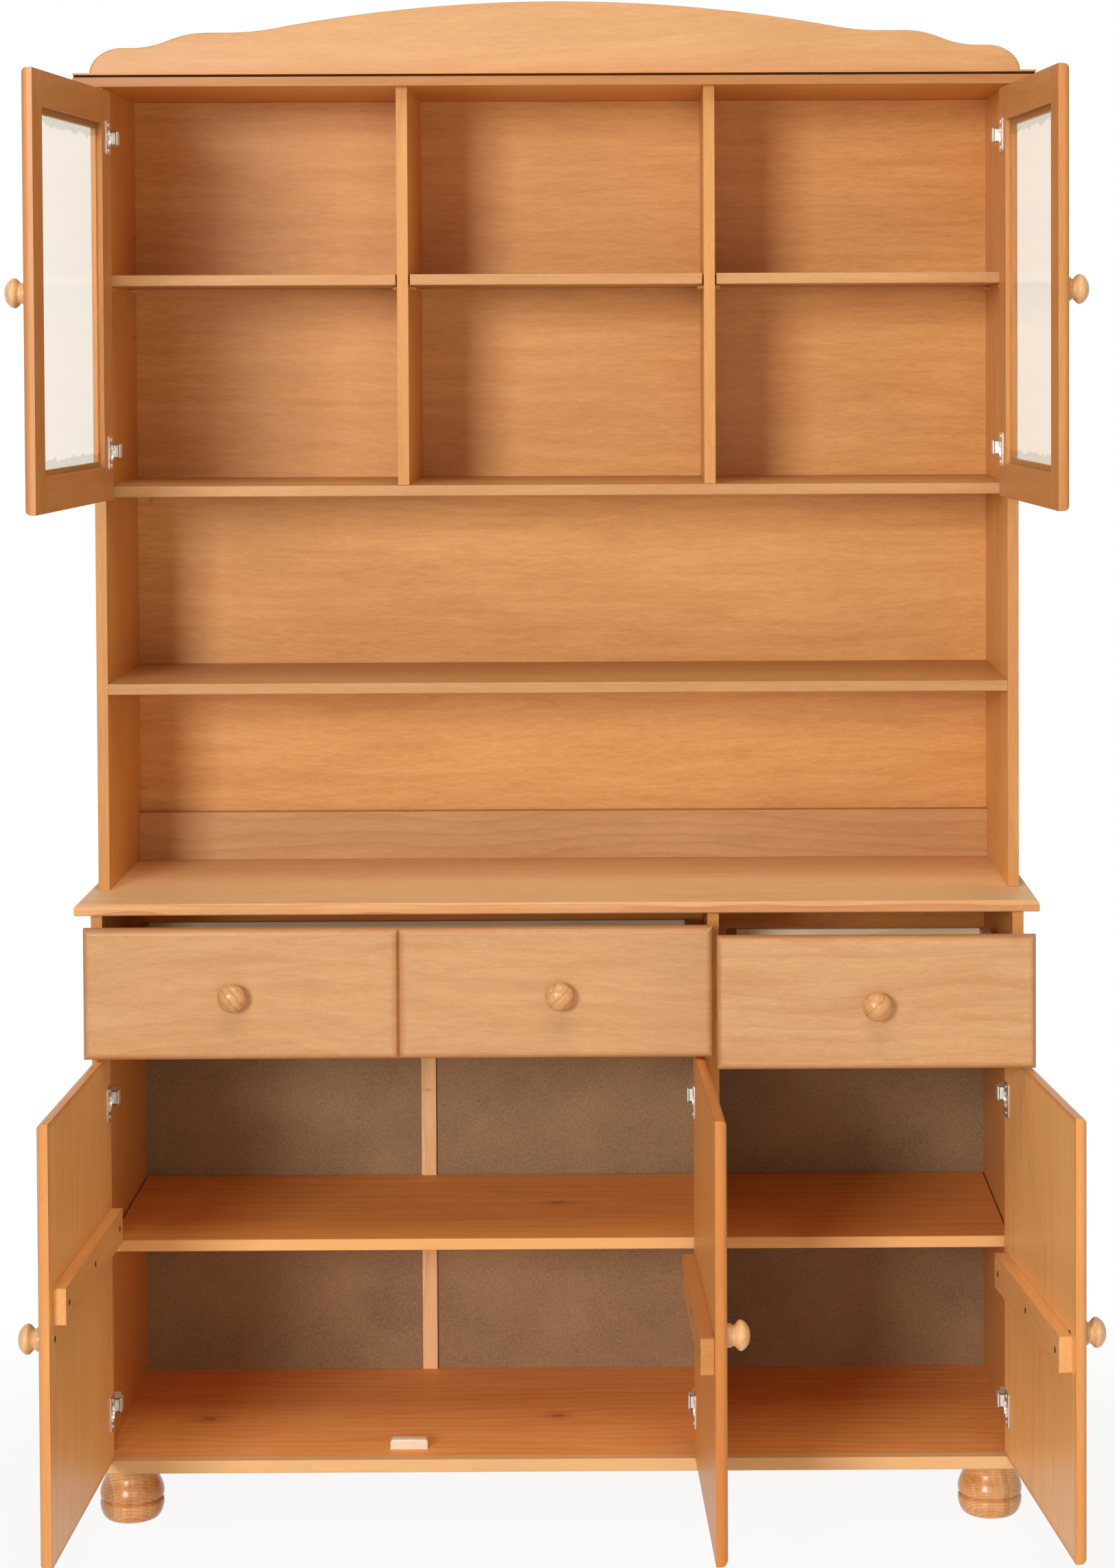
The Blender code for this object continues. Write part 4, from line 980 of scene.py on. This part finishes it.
for door_name, door in doors.items():
    if "batten" not in door:
        continue
    ends = sorted((door["edge"], door["edge"] + door["inward"] * door["width"]))
    places = (ends[0] + batten_screw_inset, sum(ends) / 2, ends[1] - batten_screw_inset)
    screws, mouths = ([laid(shape, (x, door["inner"] + depth, door["batten"])) for x in places]
                      for shape, depth in ((batten_screw, batten_hole_floor),
                                           (dimple, batten_face)))
    knob_x = door["edge"] + door["inward"] * (door["width"] - door["knob"][0])
    mouths.append(laid(knob_screw, (knob_x, door["inner"], door["knob"][1])))
    # Mouths and knob screw in painted shade, batten screws in bronze.
    for suffix, group, finish in (("_screw_mouths", mouths, hole_dark),
                                  ("_screws", screws, bronze)):
        fitted(door_name + suffix, [swing(stack, door) for stack in group], finish, door_name,
               30)

# Door catch: a cream plastic block behind the meeting edges of the two left doors, its ends
# sloped, clipped on two pins in the bottom panel.
catch_half_x, catch_half_y = 0.0268, 0.0073
catch_middle = (-0.2185, 0.0555)
catch_base = 0.1010
catch_top = 0.1158
catch_pin = 0.014
plastic, tree, shader, spot = material("cream_plastic")
mottle = noise(tree, spot, 320.0, 3.0)
surface(tree, shader, blend(tree, mottle, (0.86, 0.78, 0.66, 1), (0.76, 0.66, 0.53, 1)),
        sums(tree, 'MULTIPLY_ADD', mottle, 0.15, 0.35), mottle, 0.1, 0.0003)
catch_rings = np.stack([
    corners(catch_half_x - inset_x, catch_half_y - inset_y, radius, height)
    for inset_x, inset_y, radius, height in (
        (0.0, 0.0, 0.0006, catch_base), (0.0, 0.0, 0.0006, 0.1122),
        (0.0008, 0.0, 0.0007, 0.1136), (0.0018, 0.0002, 0.001, 0.1148),
        (0.0030, 0.0007, 0.001, 0.1155), (0.0042, 0.0018, 0.001, catch_top))])
pin_rings = np.stack(circles(((0.0016, -0.001), (0.0016, 0.0002), (0.0012, 0.0005),
                              (0.0003, 0.0006)), 16))
pins = [pin_rings + (catch_middle[0] + shift, catch_middle[1], catch_top)
        for shift in (-catch_pin, catch_pin)]
fitted("door_catch", [catch_rings + (*catch_middle, 0), *pins], plastic, "root")

# Strip over the joint of the base backs: a slim pale oak lath with softened edges, standing
# upright on the inner side of both sheets.
strip_half = (0.0113, 0.00275)
strip_middle = (-0.2111, 0.42685)
strip_ends = (0.1019, 0.8836)
strip_oak = wood("strip_oak", "z", (0.92, 0.62, 0.33), (0.80, 0.46, 0.20), oak_line, rings=0.3,
                 heart=(0.1, 0.42, 0.2))
knot(strip_oak, (-0.2126, 0.4241, 0.5379), (0.0042, 0.01, 0.0016), knot_tone, 0.6)
strip_rings = np.stack([corners(*strip_half, 0.0006, height, 16)
                        for height in np.linspace(*strip_ends, 12)]) + (*strip_middle, 0)
fitted("back_joint_strip", [strip_rings], strip_oak, "root", 60)

# Crosspieces: an upright board between the base's sides and partition, behind the drawers and
# against the back panels, screwed through the sides.
cross_depth = (0.4135, 0.4290)
cross_height = (0.7640, 0.8835)
cross_spans = ((-0.6490, 0.2139), (0.2305, 0.6490))


def bar(low, high, radius=0.0001, around=8, count=4):
    """A bar between two corners with edges of a radius, as rings along X."""
    low, high = np.array(low), np.array(high)
    half, middle = (high - low) / 2, (high + low) / 2
    outline = corners(half[1], half[2], radius, 0.0, around)
    rings = np.stack([outline + (0, 0, x) for x in np.linspace(low[0], high[0], count)])
    return laid(rings, (0, middle[1], middle[2]), backwards, upwards, left_to_right)


cross_oak = wood("cross_oak", "x", (0.95, 0.46, 0.12), (0.82, 0.34, 0.07), oak_line,
                 heart=(0.2, 0.2, -0.7))
cross_bars = [bar((low_x, cross_depth[0], cross_height[0]),
                  (high_x, cross_depth[1], cross_height[1]), 0.0008, 16, 12)
              for low_x, high_x in cross_spans]
fitted("rear_crosspieces", cross_bars, cross_oak, "root", 60)

# Fixing slots: short dark keyholes low behind the worktop in each base side, and the unused
# pin holes in the base's and the hutch's left sides, each a plug of shadow in the board's face.
slot_half = 0.0024
base_inner = 0.6493
hutch_inner = 0.6540
slots = (("left", -base_inner, 0.0635, 0.8605, 0.0055),
         ("right", base_inner, 0.0259, 0.8627, 0.0085),
         ("pin_low", -base_inner, 0.395, 0.4593, 0.0028),
         ("pin_high", -base_inner, 0.395, 0.3150, 0.0028),
         ("hutch_low", -hutch_inner, 0.4080, 1.7053, 0.0028),
         ("hutch_high", -hutch_inner, 0.4140, 1.8560, 0.0028))
slot_dark = plated_metal("slot_dark", (0.035, 0.016, 0.008), 0.6, 0.0)
for name, wall, y, z, half_tall in slots:
    rings = np.stack([corners(slot_half - inset, half_tall - inset, slot_half - 0.0001 - inset,
                              height, 24)
                      for inset, height in ((0.0, -0.0006), (0.0, 0.0001), (0.0004, 0.00015))])
    into_room = (-math.copysign(1, wall), 0, 0)
    fitted("fixing_slot_" + name, [laid(rings, (wall, y, z), backwards, upwards, into_room)],
           slot_dark, "root")

# Crown shadow: a near-black strip set back in the crown panel's groove along its front and both
# ends, and a hair-thin one closing the joint over the hutch's back panel.
groove_low, groove_high = 2.0786, 2.08185
groove_front = 0.0997
groove_floor = 0.1062
groove_end = 0.6918
end_floor = 0.6853
crown_rear = 0.4325
joint_low = (-0.6535, 0.4300, 2.06472)
joint_high = (0.6535, 0.4328, 2.06498)
shadow_bars = [
    bar((-groove_end, groove_front, groove_low), (groove_end, groove_floor, groove_high)),
    bar((-groove_end, groove_floor, groove_low), (-end_floor, crown_rear, groove_high)),
    bar((end_floor, groove_floor, groove_low), (groove_end, crown_rear, groove_high)),
    bar(joint_low, joint_high)]
shadow_black = plated_metal("shadow_black", (0.050, 0.022, 0.009), 0.8, 0.0)
shadow_black.node_tree.nodes["Principled BSDF"].inputs["Specular IOR Level"].default_value = 0.02
fitted("crown_shadow", shadow_bars, shadow_black, "root", None)

# Pediment: one shaped board standing on the crown panel. Its top edge is a quarter ellipse, a
# ledge, an S-shaped rise, a flat, a gentle sweep and a long parabola to the middle, rounded over
# in front.
pediment_half = 0.673
pediment_back = 0.1375
pediment_front = 0.1215
pediment_foot = 2.0848
pediment_round = 0.003
end_run, end_rise = 0.048, 0.0377
scroll_start, scroll_run, scroll_rise = 0.062, 0.106, 0.0216
sweep_start, sweep_run, sweep_rise = 0.202, 0.065, 0.0058
arch_rise = 0.0374


def pediment_edge():
    """Half of the top edge from its end: run and rise of each stretch as a function of t."""
    t = np.linspace(0, 1, 25)
    turn = t * math.pi / 2
    ledge = end_rise + scroll_rise
    arch_start = sweep_start + sweep_run
    rise = np.where(t < 0.5, 2 * t * t, 1 - 2 * (1 - t) ** 2)
    end = (end_run * (1 - np.cos(turn)), end_rise * np.sin(turn))
    scroll = (scroll_start + scroll_run * t, end_rise + scroll_rise * rise)
    sweep = (sweep_start + sweep_run * t[:-1], ledge + sweep_rise * t[:-1] ** 2)
    arch = (arch_start + (pediment_half - arch_start) * t,
            ledge + sweep_rise + arch_rise * (2 * t - t * t))
    return np.concatenate([np.stack(stretch, axis=-1) for stretch in (end, scroll, sweep, arch)])


half_edge = pediment_edge()
outline = np.concatenate((half_edge - (pediment_half, 0),
                          (half_edge[:-1] * (-1, 1) + (pediment_half, 0))[::-1]))
slope = np.gradient(outline, axis=0)
slope /= np.linalg.norm(slope, axis=1)[:, None]
outward = np.stack((-slope[:, 1], slope[:, 0]), axis=-1)
outward[0], outward[-1] = (-1, 0), (1, 0)
turn = np.linspace(0, math.pi / 2, 6)
steps = [(0.0, pediment_back)]
steps += [(pediment_round * (1 - math.cos(a)), pediment_front + pediment_round * (1 - math.sin(a)))
          for a in turn]
columns = [np.stack((outline[:, 0], np.full(len(outline), pediment_back),
                     np.zeros(len(outline))), axis=-1)]
for inset, depth in steps:
    eased = outline - outward * inset
    columns.append(np.stack((eased[:, 0], np.full(len(outline), depth),
                             np.maximum(eased[:, 1], 0)), axis=-1))
columns.append(columns[-1] * (1, 1, 0))
pediment_rings = np.stack(columns, axis=1) + (0, 0, pediment_foot)
pediment_oak = wood("pediment_oak", "x", (0.63, 0.36, 0.172), (0.535, 0.27, 0.113), oak_line,
                    figure=0.9, rings=0.10, worn_and_shaded=edge_wear_and_shade_tone, worn_and_shaded_amount=0.3,
                    heart=(0.3, 0.25, -1.9))
fitted("shaped_pediment", [pediment_rings], pediment_oak, "root", 30, "pediment")
